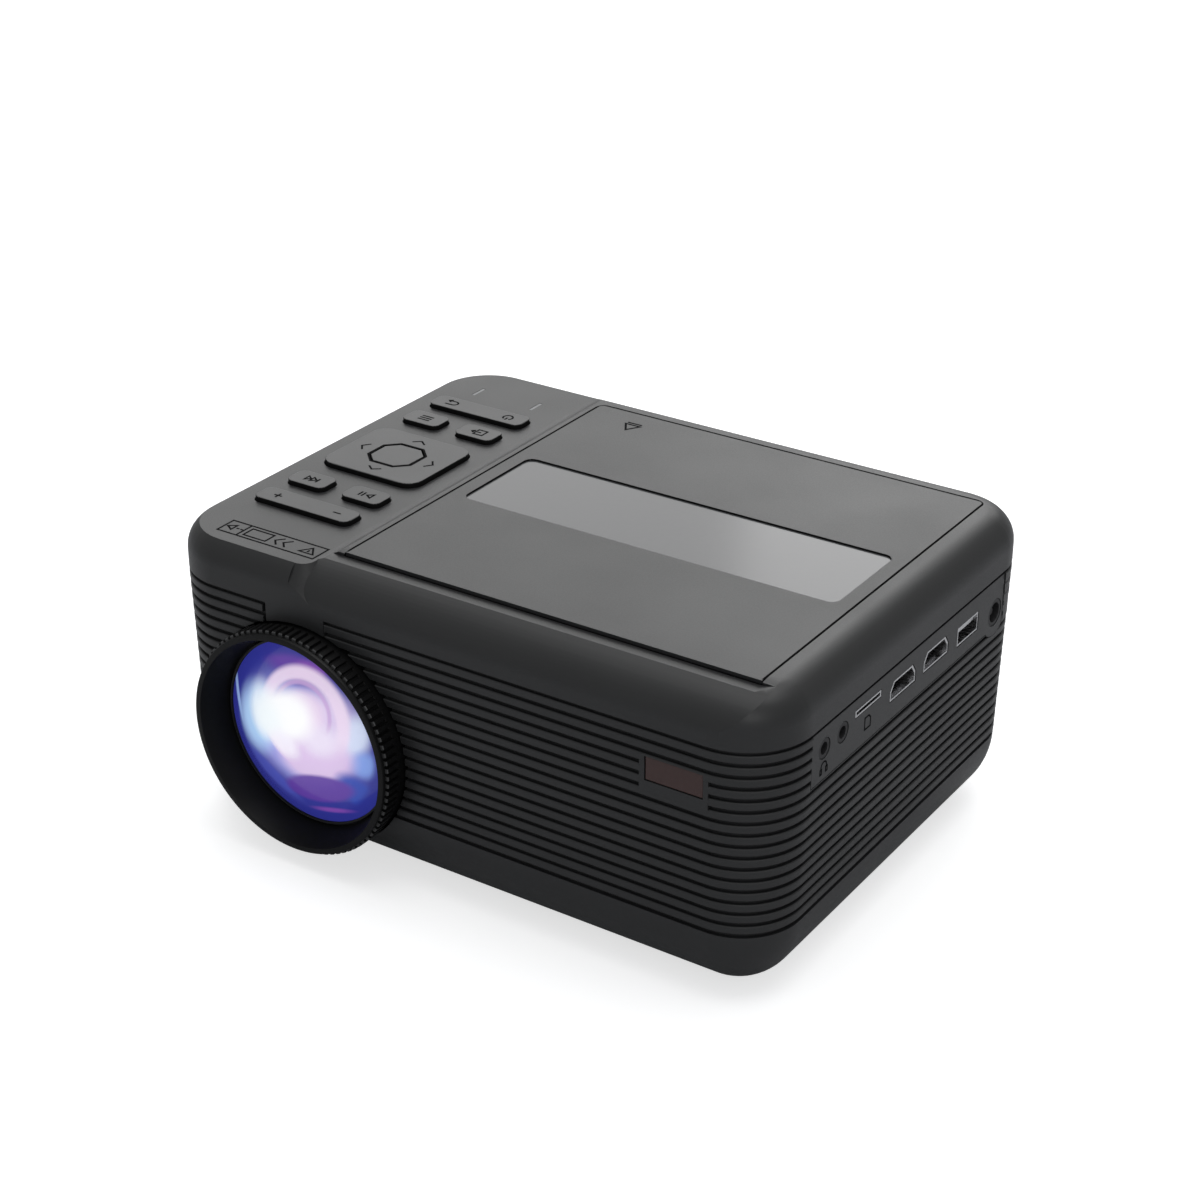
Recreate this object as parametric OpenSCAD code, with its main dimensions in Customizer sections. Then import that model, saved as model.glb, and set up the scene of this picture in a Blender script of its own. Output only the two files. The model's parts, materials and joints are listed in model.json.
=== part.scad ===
// Compact projector with a disc player under a hinged lid.
// Front (lens) faces -Y, the sockets are on +X, the keys on -X, +Z is up.
// The origin lies on the table, under the centre of the whole footprint.

/* [Casing] */
// Width of the casing
body_w = 204; // [190:1:240]
// Depth of the casing without the lens ring
body_d = 154; // [150:1:180]
// Radius of the upright corners in plan
corner_r = 20; // [18:0.5:24]
// Radius of the top edge at the sides and the back
edge_r = 9; // [7:0.5:10]
// Height of the top cover above the first groove
crown_h = 15.3; // [15:0.1:18]
// How far back the front edge rounding reaches
front_round_y = 18; // [16:0.5:22]
// Height of the front edge rounding
front_round_z = 12; // [10:0.5:13]
// How far the shelf in front of the lid lies below the lid's top
shelf_drop = 1.2; // [0.8:0.1:1.6]
// Height of the lower tray below the last groove
tray_h = 21; // [18:0.5:30]
// How far in the rounding of the bottom edge reaches
bottom_round_in = 16; // [10:0.5:16]
// Wall of the top cover
cover_wall = 3.0; // [2.4:0.1:3.2]
// Wall behind the grooves of the middle shell
shell_wall = 1.8; // [1.4:0.1:2.4]
// Floor of the lower tray
floor_t = 2.2; // [1.8:0.1:3]
// Thickness of the control panel's skin
panel_skin = 2.0; // [1.6:0.1:2.2]
// Depth of the control panel below the lid
panel_drop = 1.6; // [1:0.1:2]

/* [Grooves] */
// Distance between the grooves
groove_pitch = 3.5; // [3.2:0.05:4]
// Number of grooves, the seams above and below included
groove_count = 17; // [16:1:18]
// Height of one groove
groove_w = 1.2; // [0.8:0.05:1.6]
// Depth of one groove
groove_depth = 1.2; // [0.8:0.05:1.4]
// How much each rib steps in below the one above
draft_step = 0.09; // [0:0.01:0.1]
// Chamfer on the ribs
rib_chamfer = 0.25; // [0.1:0.05:0.3]

/* [Disc lid and well] */
// Width of the disc lid
lid_w = 134; // [130:0.5:136]
// Depth of the disc lid
lid_d = 129.3; // [128:0.1:132]
// Thickness of the disc lid
lid_t = 2.4; // [2:0.1:2.6]
// Gap round the disc lid
lid_gap = 0.35; // [0.25:0.05:0.5]
// Distance from the casing's right side to the lid
lid_margin_right = 12.3; // [11:0.1:13]
// Distance from the casing's front to the lid
lid_margin_front = 14.4; // [14:0.1:15]
// Width of the window in the lid
window_w = 124; // [100:1:126]
// Depth of the window in the lid
window_d = 34.5; // [20:0.5:50]
// Distance from the lid's front edge to the window
window_from_front = 47.8; // [45:0.1:60]
// Thickness of the window
window_t = 1.2; // [1:0.1:1.4]
// How far the window lies below the lid's top
window_sunk = 0.5; // [0.3:0.05:0.6]
// Radius of the disc well
well_r = 62; // [61:0.5:62.5]
// Depth of the well below the deck's top
well_depth = 8.2; // [7.5:0.1:9]
// Thickness of the deck
deck_t = 2.0; // [1.6:0.1:2.2]
// Radius of the hub that holds the disc's 15 mm hole
hub_r = 7.4; // [7.3:0.05:7.45]

/* [Keys] */
// Width of the two wide rocker keys
rocker_w = 35; // [30:0.5:36]
// Depth of the two wide rocker keys
rocker_d = 8.2; // [6:0.1:8.5]
// Width of the four small keys
key_w = 13.8; // [11:0.1:14.5]
// Depth of the four small keys
key_d = 8.6; // [6:0.1:9]
// Width of the direction pad
pad_w = 35.5; // [32:0.5:36]
// Depth of the direction pad
pad_d = 31.5; // [28:0.5:32]
// Width of the OK key
ok_w = 14.6; // [13:0.1:15.5]
// Depth of the OK key
ok_d = 14.0; // [13:0.1:14.5]
// How far the keys stand above the panel
key_rise = 1.4; // [1:0.1:1.6]
// Gap round the keys
key_gap = 0.3; // [0.25:0.05:0.4]
// Travel of the keys that press straight down
key_travel = 0.8; // [0.5:0.05:0.9]

/* [Lens] */
// How far the focus ring stands out in front of the casing
lens_out = 8; // [6:0.5:12]
// Distance from the casing's left side to the lens axis
lens_from_left = 51.3; // [50:0.1:54]
// Height of the lens axis above the casing's underside
lens_axis_h = 38.5; // [38.2:0.1:40]
// Radius over the teeth of the focus ring
ring_r = 35.1; // [34.6:0.1:35.6]
// Radius of the ring's front lip
lip_r = 33.3; // [33:0.1:33.8]
// Number of teeth on the focus ring
tooth_count = 90; // [60:2:100]
// Radius of the front glass
glass_r = 28.6; // [28:0.1:28.8]
// Height of the front glass's dome
glass_sag = 6.5; // [4:0.5:7]
// Travel of the lens barrel each way
focus_travel = 1.5; // [1:0.1:1.6]

/* [Feet and mounts] */
// Height that the rubber feet stand out
foot_h = 2; // [1.5:0.1:3]
// Radius of the rubber feet
foot_r = 8; // [6:0.5:8.5]
// Radius of the thread hole for a quarter-inch tripod screw
tripod_r = 2.55; // [2.5:0.01:2.6]
// Radius of the case screws
screw_r = 1.25; // [1:0.05:1.5]

/* [Sockets] */
// Radius of the bore for a 3.5 mm plug
jack_r = 1.8; // [1.76:0.01:1.85]
// Width of a video socket
video_w = 14.8; // [14.5:0.1:15.2]
// Height of a video socket
video_h = 5.6; // [5.4:0.1:6]
// Width of the USB socket
usb_w = 13.1; // [12.9:0.1:13.4]
// Height of the USB socket
usb_h = 5.7; // [5.5:0.1:6]
// Width of the card slot
card_w = 14.4; // [12:0.1:15]
// Bore of the power socket
power_r = 3.05; // [2.9:0.05:3.2]

/* [Hidden] */
$fn = 64;
eps = 0.01;
// Play between a pin and the bore it turns in, and between fixed pieces that slip together
pin_play = 0.06;
slip = 0.2;

// Colours
shell_colour = "#26282a";
key_colour = "#2b2d2f";
dark_colour = "#141516";
metal_colour = "#b9bcc0";
board_colour = "#1f5a38";

// Casing levels and faces
case_z = foot_h;
last_groove_z = case_z + tray_h;
first_groove_z = last_groove_z + (groove_count - 1) * groove_pitch;
top_z = first_groove_z + crown_h;
face_y = -(body_d + lens_out) / 2 + lens_out;
back_y = face_y + body_d;
body_cy = (face_y + back_y) / 2;
draft_total = draft_step * (groove_count - 1);
cavity_inset = draft_total + groove_depth + shell_wall;
inner_back_y = back_y - cavity_inset;
inner_front_y = face_y + cavity_inset;
panel_z = top_z - panel_drop;
skin_z = panel_z - panel_skin;
floor_z = case_z + floor_t;

// Disc lid
lid_x1 = body_w / 2 - lid_margin_right;
lid_x0 = lid_x1 - lid_w;
lid_y0 = face_y + lid_margin_front;
lid_y1 = lid_y0 + lid_d;
lid_cx = (lid_x0 + lid_x1) / 2;
lid_cy = (lid_y0 + lid_y1) / 2;
lid_z = top_z - lid_t;
lid_front_edge_t = 1.1;
lid_back_r = 3;
window_z = top_z - window_sunk - window_t;
window_ledge = 3;
window_y0 = lid_y0 + window_from_front;
window_cy = window_y0 + window_d / 2;

// Lid hinge: a goose-neck that passes under the cover's front strip
hinge_y = lid_y0 - 4.4;
hinge_z = top_z - 9.7;
hinge_x = [lid_x0 + 14, lid_x1 - 17.5];
hinge_pin_r = 1.2;
knuckle_r = 2.6;
knuckle_w = 5;
lug_t = 3;
lug_gap = 0.3;
neck_in = 10;
neck_out = 14;
neck_angle = 50;

// Lid latch plunger
latch_x = lid_x0 + 17.5;
latch_y = lid_y1 - 9;
latch_r = 3;
latch_post_r = 2.4;
latch_post_z = skin_z - 4.4;
latch_travel = 2;
latch_h = 6;

// Disc well and drive
deck_z = skin_z;
well_floor_z = deck_z - well_depth;
well_wall = 2;
hub_x = lid_cx;
hub_y = lid_cy;
turntable_r = 16;
turntable_t = 2;
turntable_z = well_floor_z + 0.4;
hub_h = 3.4;
spindle_r = 1;
motor_r = 11;
chassis_t = 1.5;
chassis_z = well_floor_z - deck_t - 8.5;
chassis_x = [hub_x - 31, hub_x + 40];
chassis_y = [hub_y - 18, inner_back_y - 1.6];
motor_h = well_floor_z - 1 - chassis_z - chassis_t;
rod_r = 1.5;
rod_z = chassis_z + chassis_t + 3;
rod_x = [hub_x - 17, hub_x + 17];
rod_y = [hub_y + 15, chassis_y[1]];
tab_t = 2;
tab_h = 5.5;
screw_x = hub_x + 26;
lead_r = 1.5;
sled_motor_r = 2.8;
sled_motor_l = 13;
lens_travel_r = 25;
sled_l = 14;
sled_y0 = hub_y + lens_travel_r - sled_l / 2;
slot_w = 20;
grommet_r = 4.5;
grommet_bore = 2.6;
grommet_xy = [
  [chassis_x[0] + 6, chassis_y[0] + 6], [chassis_x[1] - 6, chassis_y[0] + 6],
  [chassis_x[0] + 6, chassis_y[1] - 8], [chassis_x[1] - 6, chassis_y[1] - 8]
];

// Keys
panel_edge_x = lid_x0 - 7;
panel_blend_r = 9;
shelf_z = top_z - shelf_drop;
shelf_ramp = 5.5;
apron_x = panel_edge_x + 1.3;
apron_r = 4;
apron_slope = 0.7;
apron_front = edge_r - sqrt(pow(edge_r, 2) - pow(edge_r - panel_drop, 2));
key_cx = -body_w / 2 + 28;
key_cy = face_y + 76.2;
key_top = panel_z + key_rise;
key_dx = 10.2;
row_small = 28;
row_rocker = 42.6;
key_r = 2.5;
pad_r = 5;
ok_cut = 3.4;
key_flange = 0.8;
key_flange_t = 1;
key_flange_z = skin_z - 0.2 - key_flange_t;
rocker_play = 0.4;
pad_play = 0.45;
rocker_axle_z = skin_z - 2.2;
rocker_axle_r = 1.2;
gimbal_z = skin_z - 2.6;
gimbal_r = 12;
gimbal_in = 9.4;
axle_r = 1;
lug_w = 2;
switch_z = skin_z - 5.1;
switch_size = 6;
board_t = 1.6;
key_board_z = switch_z - 4 - board_t;
stem_r = 1.5;
stem_z = switch_z + key_travel + 0.3;
ok_stem_r = 3;
light_w = 0.9;
light_l = 6;
light_y = key_cy + 57.5;
light_dx = 11.2;
key_posts = [[-19.5, 53], [21.5, 53], [-19.5, -49.5], [21.5, -49.5]];

// Lens and light path
axis_x = -body_w / 2 + lens_from_left;
axis_z = case_z + lens_axis_h;
ring_front_y = face_y - lens_out;
ring_back_y = face_y + 7;
teeth_y0 = ring_front_y + 1.4;
teeth_y1 = ring_front_y + 6.6;
tooth_gap = 0.32;
tooth_depth = 0.9;
sleeve_r = ring_r - 0.8;
lens_hole_r = ring_r + 0.1;
mount_out = 30.9;
mount_in = 29.75;
barrel_r = 29.45;
funnel_r = barrel_r + 0.4;
funnel_y = ring_front_y + 9.3;
lip_t = 0.8;
barrel_front_y = ring_front_y + 9.4;
barrel_step_y = barrel_front_y + 26.5;
barrel_back_y = barrel_step_y + 17;
barrel_back_r = 22.5;
glass_edge_t = 4;
mount_front_y = ring_front_y + 10.4;
flange_y = barrel_step_y + 2 * focus_travel;
flange_t = 3;
flange_w = 66;
tray_y0 = flange_y + flange_t;
tray_y1 = tray_y0 + 89;
tray_w = 78;
tray_z0 = floor_z + 1.8;
tray_z1 = axis_z + (axis_z - tray_z0);
optic_wall = 2;
fresnel_t = 2;
lcd_t = 2.8;
fresnel_front_y = tray_y0 + 15.4;
lcd_y = tray_y0 + 20.4;
fresnel_rear_y = tray_y0 + 24.8;
rail_t = 1;
rail_y = [fresnel_front_y - 0.4 - rail_t, lcd_y - 0.2 - rail_t, lcd_y + lcd_t + 0.2,
          fresnel_rear_y + fresnel_t + 1.8];
plate_w = tray_w - 2 * optic_wall - 0.4;
plate_h = tray_z1 - tray_z0 - 2 * optic_wall - 0.4;
bulkhead_y = tray_y1 - 17;
condenser_r = 22;
sink_w = 56;
sink_base_t = 3;
fan_w = sink_w;
fan_t = 10;
fan_y0 = inner_back_y - 3.4 - fan_t;
sink_y0 = tray_y1 + 2;
sink_y1 = fan_y0;
fan_bore = fan_w / 2 - 2;
fan_hole_at = fan_w / 2 - 3;
fan_hub_r = 11;
lamp_w = sink_w - 14;

// Sockets on the right side, places measured from the casing's face and the first groove
port_face_x = body_w / 2 - 0.35;
port_t = 2.4;
port_y0 = face_y + 20.8;
port_y1 = face_y + 134.3;
port_z0 = first_groove_z - 16.1;
port_z1 = first_groove_z - groove_w / 2;
port_gap = 0.25;
port_bump_r = 7.4;
socket_face_x = port_face_x - 0.15;
headphone_yz = [face_y + 27.3, first_groove_z - 6.9];
av_yz = [face_y + 37.2, first_groove_z - 6.9];
card_yz = [face_y + 51.2, first_groove_z - 5];
video_1_yz = [face_y + 71.5, first_groove_z - 7.8];
video_2_yz = [face_y + 91.4, first_groove_z - 7.8];
usb_yz = [face_y + 111.4, first_groove_z - 8.9];
power_yz = [face_y + 129.3, first_groove_z - 11.2];
jack_collar_r = 2.9;
power_collar_r = 4.1;
power_body_w = 9;
shell_t = 0.5;
hole_gap = 0.2;
socket_l = 12.5;
main_board_z = usb_yz[1] - usb_h / 2 - board_t;
main_board_x = [body_w / 2 - 44, body_w / 2 - 5.2];
main_board_y = [face_y + 22.5, face_y + 135.5];

// Remote-control window
ir_x = body_w / 2 - 29.4;
ir_z = first_groove_z - 11.9;
ir_w = 17.5;
ir_h = 7;
ir_pad_x = [body_w / 2 - 39.9, body_w / 2 - 19];

// Feet, screws, tripod nut, speaker
foot_in = 24;
foot_x = body_w / 2 - foot_in;
foot_xy = [[-foot_x, face_y + foot_in], [foot_x, face_y + foot_in],
           [-foot_x, back_y - foot_in], [foot_x, back_y - foot_in]];
foot_seat = 0.8;
post_in = [16, 15];
back_post_in = [18, 12.5];
post_xy = [[-body_w / 2 + post_in[0], face_y + post_in[1]], [body_w / 2 - post_in[0], face_y + post_in[1]],
           [-body_w / 2 + back_post_in[0], back_y - back_post_in[1]],
           [body_w / 2 - back_post_in[0], back_y - back_post_in[1]]];
post_r = 3.8;
head_r = 2.3;
head_seat_z = case_z + 4.5;
post_join_z = 60;
board_post_x = [main_board_x[0] + 4, main_board_x[0] + 24];
board_post_xy = [for (x = board_post_x, y = [main_board_y[0] + 5, main_board_y[1] - 5]) [x, y]];
tripod_xy = [6, body_cy];
tripod_nut_r = 5;
tripod_nut_h = 9;
speaker_xy = [34, face_y + 40];
speaker_r = 20;
speaker_h = 15;

// ---------------------------------------------------------------- shared shapes

// Rectangle with round corners, centred
module rounded_rect(w, d, r) {
  square([w - 2 * r, d], center = true);
  square([w, d - 2 * r], center = true);
  for (sx = [-1, 1], sy = [-1, 1])
    translate([sx * (w / 2 - r), sy * (d / 2 - r)])
      circle(r);
}

// Flat slab with the casing's outline, drawn in by inset
module case_slab(inset, z0, z1) {
  translate([0, body_cy, z0])
    linear_extrude(z1 - z0)
      rounded_rect(body_w - 2 * inset, body_d - 2 * inset, corner_r - inset);
}

// Runs a wall section round the casing; x = 0 is the centre of the corner arcs
module wrap_section() {
  half = [body_w / 2, body_d / 2];
  translate([0, body_cy, 0])
    for (side = [0:3])
      rotate([0, 0, 90 * side]) {
        a = half[side % 2];
        b = half[(side + 1) % 2];
        translate([a - corner_r, 0, 0])
          rotate([90, 0, 0])
            linear_extrude(2 * (b - corner_r), center = true)
              children();
        translate([a - corner_r, b - corner_r, 0])
          rotate_extrude(angle = 90)
            children();
      }
}

// Side view of a block with two round upper edges
module crowned_profile(w, h, e) {
  translate([-w / 2, 0])
    square([w, h - e]);
  translate([-w / 2 + e, 0])
    square([w - 2 * e, h]);
  for (s = [-1, 1])
    translate([s * (w / 2 - e), h - e])
      intersection() {
        circle(e);
        translate([-e, -eps])
          square([2 * e, e + eps]);
      }
}

// Block with the casing's outline and a round upper edge of radius e
module crowned_block(inset, z0, z1, e) {
  w = body_w - 2 * inset;
  d = body_d - 2 * inset;
  r = corner_r - inset;
  h = z1 - z0;
  translate([0, body_cy, z0]) {
    rotate([90, 0, 0])
      linear_extrude(d - 2 * r, center = true)
        crowned_profile(w, h, e);
    rotate([90, 0, 90])
      linear_extrude(w - 2 * r, center = true)
        crowned_profile(d, h, e);
    for (k = [0:3])
      rotate([0, 0, 90 * k])
        translate([(k % 2 == 0 ? w : d) / 2 - r, (k % 2 == 0 ? d : w) / 2 - r, 0])
          rotate_extrude(angle = 90) {
            square([r - e, h]);
            square([r, h - e]);
            translate([r - e, h - e])
              intersection() {
                circle(e);
                square(e + eps);
              }
          }
  }
}

// Long bar along X whose front upper edge follows a quarter of an ellipse
module front_profile_bar(inset, z_low, z_high) {
  a = front_round_y - inset;
  b = front_round_z - 0.6 * inset;
  cy = face_y + front_round_y;
  cz = top_z - front_round_z;
  arc = [for (t = [0:5:90]) [cy - a * cos(t), min(cz + b * sin(t), z_high)]];
  rotate([90, 0, 90])
    linear_extrude(body_w + 10, center = true)
      polygon(concat([[cy - a, z_low]], arc, [[cy, z_high], [back_y + 5, z_high], [back_y + 5, z_low]]));
}

// Key plate with round corners
module key_plate(w, d, r, z0, z1) {
  translate([0, 0, z0])
    linear_extrude(z1 - z0)
      rounded_rect(w, d, r);
}

module cylinder_y(r, y0, y1) {
  translate([0, y1, 0])
    rotate([90, 0, 0])
      cylinder(r = r, h = y1 - y0);
}

module cylinder_x(r, x0, x1) {
  translate([x0, 0, 0])
    rotate([0, 90, 0])
      cylinder(r = r, h = x1 - x0);
}

module box(low, high) {
  translate(low)
    cube(high - low);
}

// ---------------------------------------------------------------- casing

// Outline of the wall's outer ribs from one groove to the next, as points of the wall section
function rib_points(i) =
  let (x = corner_r - i * draft_step,
       x_in = x - groove_depth,
       z_hi = first_groove_z - i * groove_pitch - groove_w / 2,
       z_lo = first_groove_z - (i + 1) * groove_pitch + groove_w / 2,
       c = rib_chamfer)
  [[x_in, z_hi], [x - c, z_hi], [x, z_hi - c], [x, z_lo + c], [x - c, z_lo], [x_in, z_lo]];

// Sides of the lid opening and of what follows it
module lid_outline(gap) {
  x0 = lid_x0 - gap;
  x1 = lid_x1 + gap;
  y0 = lid_y0 - gap;
  y1 = lid_y1 + gap;
  r = lid_back_r;
  translate([x0, y0])
    square([x1 - x0, y1 - y0 - r]);
  translate([x0 + r, y0])
    square([x1 - x0 - 2 * r, y1 - y0]);
  for (x = [x0 + r, x1 - r])
    translate([x, y1 - r])
      circle(r);
}

module lens_bore(r, y0, y1) {
  translate([axis_x, 0, axis_z])
    cylinder_y(r, y0, y1);
}

// Space above the sunken control panel, with a soft slope towards the lid
module panel_cut() {
  translate([0, body_cy, 0])
    rotate([90, 0, 0])
      linear_extrude(body_d + 10, center = true) {
        translate([-body_w / 2 - 5, panel_z])
          square([panel_edge_x + body_w / 2 + 5, panel_blend_r]);
        translate([panel_edge_x, panel_z + panel_blend_r])
          circle(panel_blend_r);
      }
}

// Flat shelf in front of the lid, with a soft ramp up to the casing's right side
module shelf_cut() {
  x1 = lid_x1 + lid_gap;
  translate([0, lid_y0 - lid_gap + eps, 0])
    rotate([90, 0, 0])
      linear_extrude(front_round_y + 10)
        polygon([[-body_w / 2, shelf_z], [x1, shelf_z], [x1 + shelf_ramp, top_z + 0.1],
                 [x1 + shelf_ramp, top_z + 5], [-body_w / 2, top_z + 5]]);
}

// Apron that carries the control panel forward to the casing's front edge
module panel_apron(z_low) {
  c = [apron_x - apron_r, face_y + apron_front + apron_r];
  foot = apron_r + apron_slope * (panel_z - z_low);
  back = face_y + front_round_y + 10;
  box([-body_w / 2 - 1, face_y - 1, z_low], [c[0], back, panel_z + eps]);
  translate([0, back, 0])
    rotate([90, 0, 0])
      linear_extrude(back - c[1])
        polygon([[c[0] - 1, z_low], [c[0] + foot, z_low], [c[0] + apron_r, panel_z + eps],
                 [c[0] - 1, panel_z + eps]]);
  translate([c[0], c[1], z_low])
    cylinder(r1 = foot, r2 = apron_r, h = panel_z + eps - z_low);
}

module key_holes() {
  for (s = [-1, 1]) {
    translate([key_cx, key_cy + s * row_rocker, 0])
      key_plate(rocker_w + 2 * rocker_play, rocker_d + 2 * rocker_play, key_r + rocker_play,
                skin_z - eps, top_z);
    for (t = [-1, 1])
      translate([key_cx + t * key_dx, key_cy + s * row_small, 0])
        key_plate(key_w + 2 * key_gap, key_d + 2 * key_gap, key_r + key_gap, skin_z - eps, top_z);
    translate([key_cx + s * light_dx, light_y, skin_z - eps])
      linear_extrude(top_z - skin_z)
        square([light_w + 0.2, light_l + 0.2], center = true);
  }
  translate([key_cx, key_cy, 0])
    key_plate(pad_w + 2 * pad_play, pad_d + 2 * pad_play, pad_r + pad_play, skin_z - eps, top_z);
}

// Bearing lugs for the rocker keys and the gimbal of the direction pad
module key_lugs() {
  for (s = [-1, 1], t = [-1, 1])
    translate([key_cx, key_cy + s * row_rocker + t * (rocker_d / 2 + rocker_play + lug_w / 2 + 0.6),
               rocker_axle_z])
      difference() {
        translate([-2.5, -lug_w / 2, -2.2])
          cube([5, lug_w, skin_z - rocker_axle_z + 2.2 + eps]);
        cylinder_y(rocker_axle_r + pin_play, -lug_w, lug_w);
      }
  for (s = [-1, 1])
    translate([key_cx + s * (pad_w / 2 + pad_play + lug_w / 2 + 0.6), key_cy, gimbal_z])
      difference() {
        translate([-lug_w / 2, -2.2, -2])
          cube([lug_w, 4.4, skin_z - gimbal_z + 2 + eps]);
        cylinder_x(axle_r + pin_play, -lug_w, lug_w);
      }
}

module hinge_lugs() {
  for (x = hinge_x, s = [-1, 1])
    translate([x + s * (knuckle_w / 2 + lug_gap + lug_t / 2), hinge_y, hinge_z])
      difference() {
        rotate([90, 0, 90])
          linear_extrude(lug_t, center = true) {
            circle(3);
            polygon([[-3, 0], [-3, 5.2], [2.9, 6.6], [3, 0]]);
          }
        cylinder_x(hinge_pin_r + 0.02, -lug_t, lug_t);
      }
}

// Tab of the cover above the lens, between the ends of the first grooves
label_x = [-body_w / 2 + 39.4, -body_w / 2 + 60.2];
label_z = axis_z + ring_r - 6;
module label_tab(gap) {
  difference() {
    box([label_x[0] - gap, face_y, label_z], [label_x[1] + (gap > 0 ? slip : 0), face_y + cavity_inset,
        first_groove_z + groove_w / 2 + eps]);
    if (gap == 0)
      lens_bore(lens_hole_r, face_y - 1, face_y + 10);
  }
}

module top_cover() {
  color(shell_colour) {
    difference() {
      union() {
        difference() {
          union() {
            intersection() {
              crowned_block(0, first_groove_z + groove_w / 2, top_z, edge_r);
              union() {
                front_profile_bar(0, first_groove_z - 1, top_z + 1);
                panel_apron(first_groove_z - 1);
              }
            }
            case_slab(groove_depth, first_groove_z, first_groove_z + groove_w / 2 + 1);
          }
          intersection() {
            crowned_block(cover_wall, first_groove_z - 5, top_z - cover_wall, edge_r - cover_wall);
            front_profile_bar(cover_wall, first_groove_z - 6, skin_z);
          }
          panel_cut();
          shelf_cut();
        }
        label_tab(0);
      }
      translate([0, 0, skin_z - 1])
        linear_extrude(top_z)
          lid_outline(lid_gap);
      key_holes();
    }
    key_lugs();
    hinge_lugs();
    for (p = key_posts)
      translate([key_cx + p[0], key_cy + p[1], key_board_z + board_t])
        cylinder(r = 2.4, h = skin_z - key_board_z - board_t + 0.5);
    for (i = [0, 2])
      upper_post(post_xy[i], top_z - cover_wall + 0.4);
  }
}

// Upper half of a screw post, bored for the screw
module upper_post(p, z1) {
  translate([p[0], p[1], post_join_z])
    difference() {
      cylinder(r = post_r, h = z1 - post_join_z);
      translate([0, 0, -1])
        cylinder(r = screw_r + 0.02, h = 16);
    }
}

// Vent slots through the wall, in the bottoms of the grooves
module vent_slots() {
  slot_l = 21;
  slot_h = groove_w - 0.3;
  for (g = [4:12], k = [0:2]) {
    z = first_groove_z - g * groove_pitch;
    box([axis_x - 35 + k * 24, inner_back_y - 1, z - slot_h / 2],
        [axis_x - 35 + k * 24 + slot_l, back_y + 1, z + slot_h / 2]);
    box([-body_w / 2 - 1, body_cy - 26 + k * 24, z - slot_h / 2],
        [-body_w / 2 + cavity_inset + 1, body_cy - 26 + k * 24 + slot_l, z + slot_h / 2]);
  }
}

// Outline of the socket panel in the YZ plane, with the bump round the power socket
module port_outline(grow) {
  translate([port_y0 - grow, port_z0 - grow])
    square([port_y1 - port_y0 + 2 * grow, port_z1 - port_z0 + 2 * grow]);
  intersection() {
    translate([power_yz[0], power_yz[1]])
      circle(port_bump_r + grow);
    translate([port_y0, port_z0 - 8])
      square([port_y1 - port_y0 + grow, 12]);
  }
}

// Extrudes a YZ outline along X
module along_x(x0, x1) {
  translate([x0, 0, 0])
    rotate([90, 0, 90])
      linear_extrude(x1 - x0)
        children();
}

module side_shell() {
  ribs = [for (i = [0:groove_count - 2]) each rib_points(i)];
  x_last = corner_r - draft_total - groove_depth;
  color(shell_colour)
    difference() {
      union() {
        wrap_section()
          polygon(concat([[corner_r - cavity_inset, first_groove_z],
                          [corner_r - groove_depth, first_groove_z]], ribs,
                         [[x_last, last_groove_z], [corner_r - cavity_inset, last_groove_z]]));
        // smooth pad round the remote-control window
        box([ir_pad_x[0], face_y + 0.3, ir_z - 6.6], [ir_pad_x[1], face_y + cavity_inset, ir_z + 2.6]);
        // smooth stretch behind the sockets, round the back corner
        intersection() {
          difference() {
            case_slab(0.3, port_z0, port_z1);
            case_slab(cavity_inset, port_z0 - 1, port_z1 + 1);
          }
          box([body_w / 2 - 30, port_y1 + 1, port_z0 - 1], [body_w, back_y + 1, port_z1 + 1]);
        }
        // ledge that the socket panel seats on
        along_x(port_face_x - port_t - 2.2, port_face_x - port_t)
          port_outline(0.6);
      }
      lens_bore(lens_hole_r, face_y - 1, inner_front_y + 1);
      label_tab(groove_w);
      box([ir_x - ir_w / 2 - 0.15, face_y - 1, ir_z - ir_h / 2 - 0.15],
          [ir_x + ir_w / 2 + 0.15, inner_front_y + 1, ir_z + ir_h / 2 + 0.15]);
      along_x(port_face_x - port_t, body_w / 2 + 1) {
        port_outline(port_gap);
        translate([port_y0 - port_gap, port_z1 - 1])
          square([port_y1 - port_y0 + 2 * port_gap, 3]);
      }
      along_x(port_face_x - port_t - 3, port_face_x)
        translate([port_y0 + 1.5, port_z0 + 1.5])
          square([port_y1 - port_y0 - 3, port_z1 - port_z0 - 3]);
      translate([port_face_x - port_t - 3, power_yz[0] - power_body_w / 2 - 0.4,
                 power_yz[1] - power_collar_r - 0.4])
        cube([port_t + 3, power_body_w + 0.8, 2 * power_collar_r + 0.4]);
      vent_slots();
    }
}

// Outer and inner lines of the lower tray's wall
function tray_point(t, inset) =
  let (a = bottom_round_in, b = tray_h - groove_w / 2)
  [corner_r - draft_total - a * (1 - cos(t)) - inset * cos(t),
   last_groove_z - groove_w / 2 - (b - (inset > 0 ? floor_t : 0)) * sin(t)];

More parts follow.
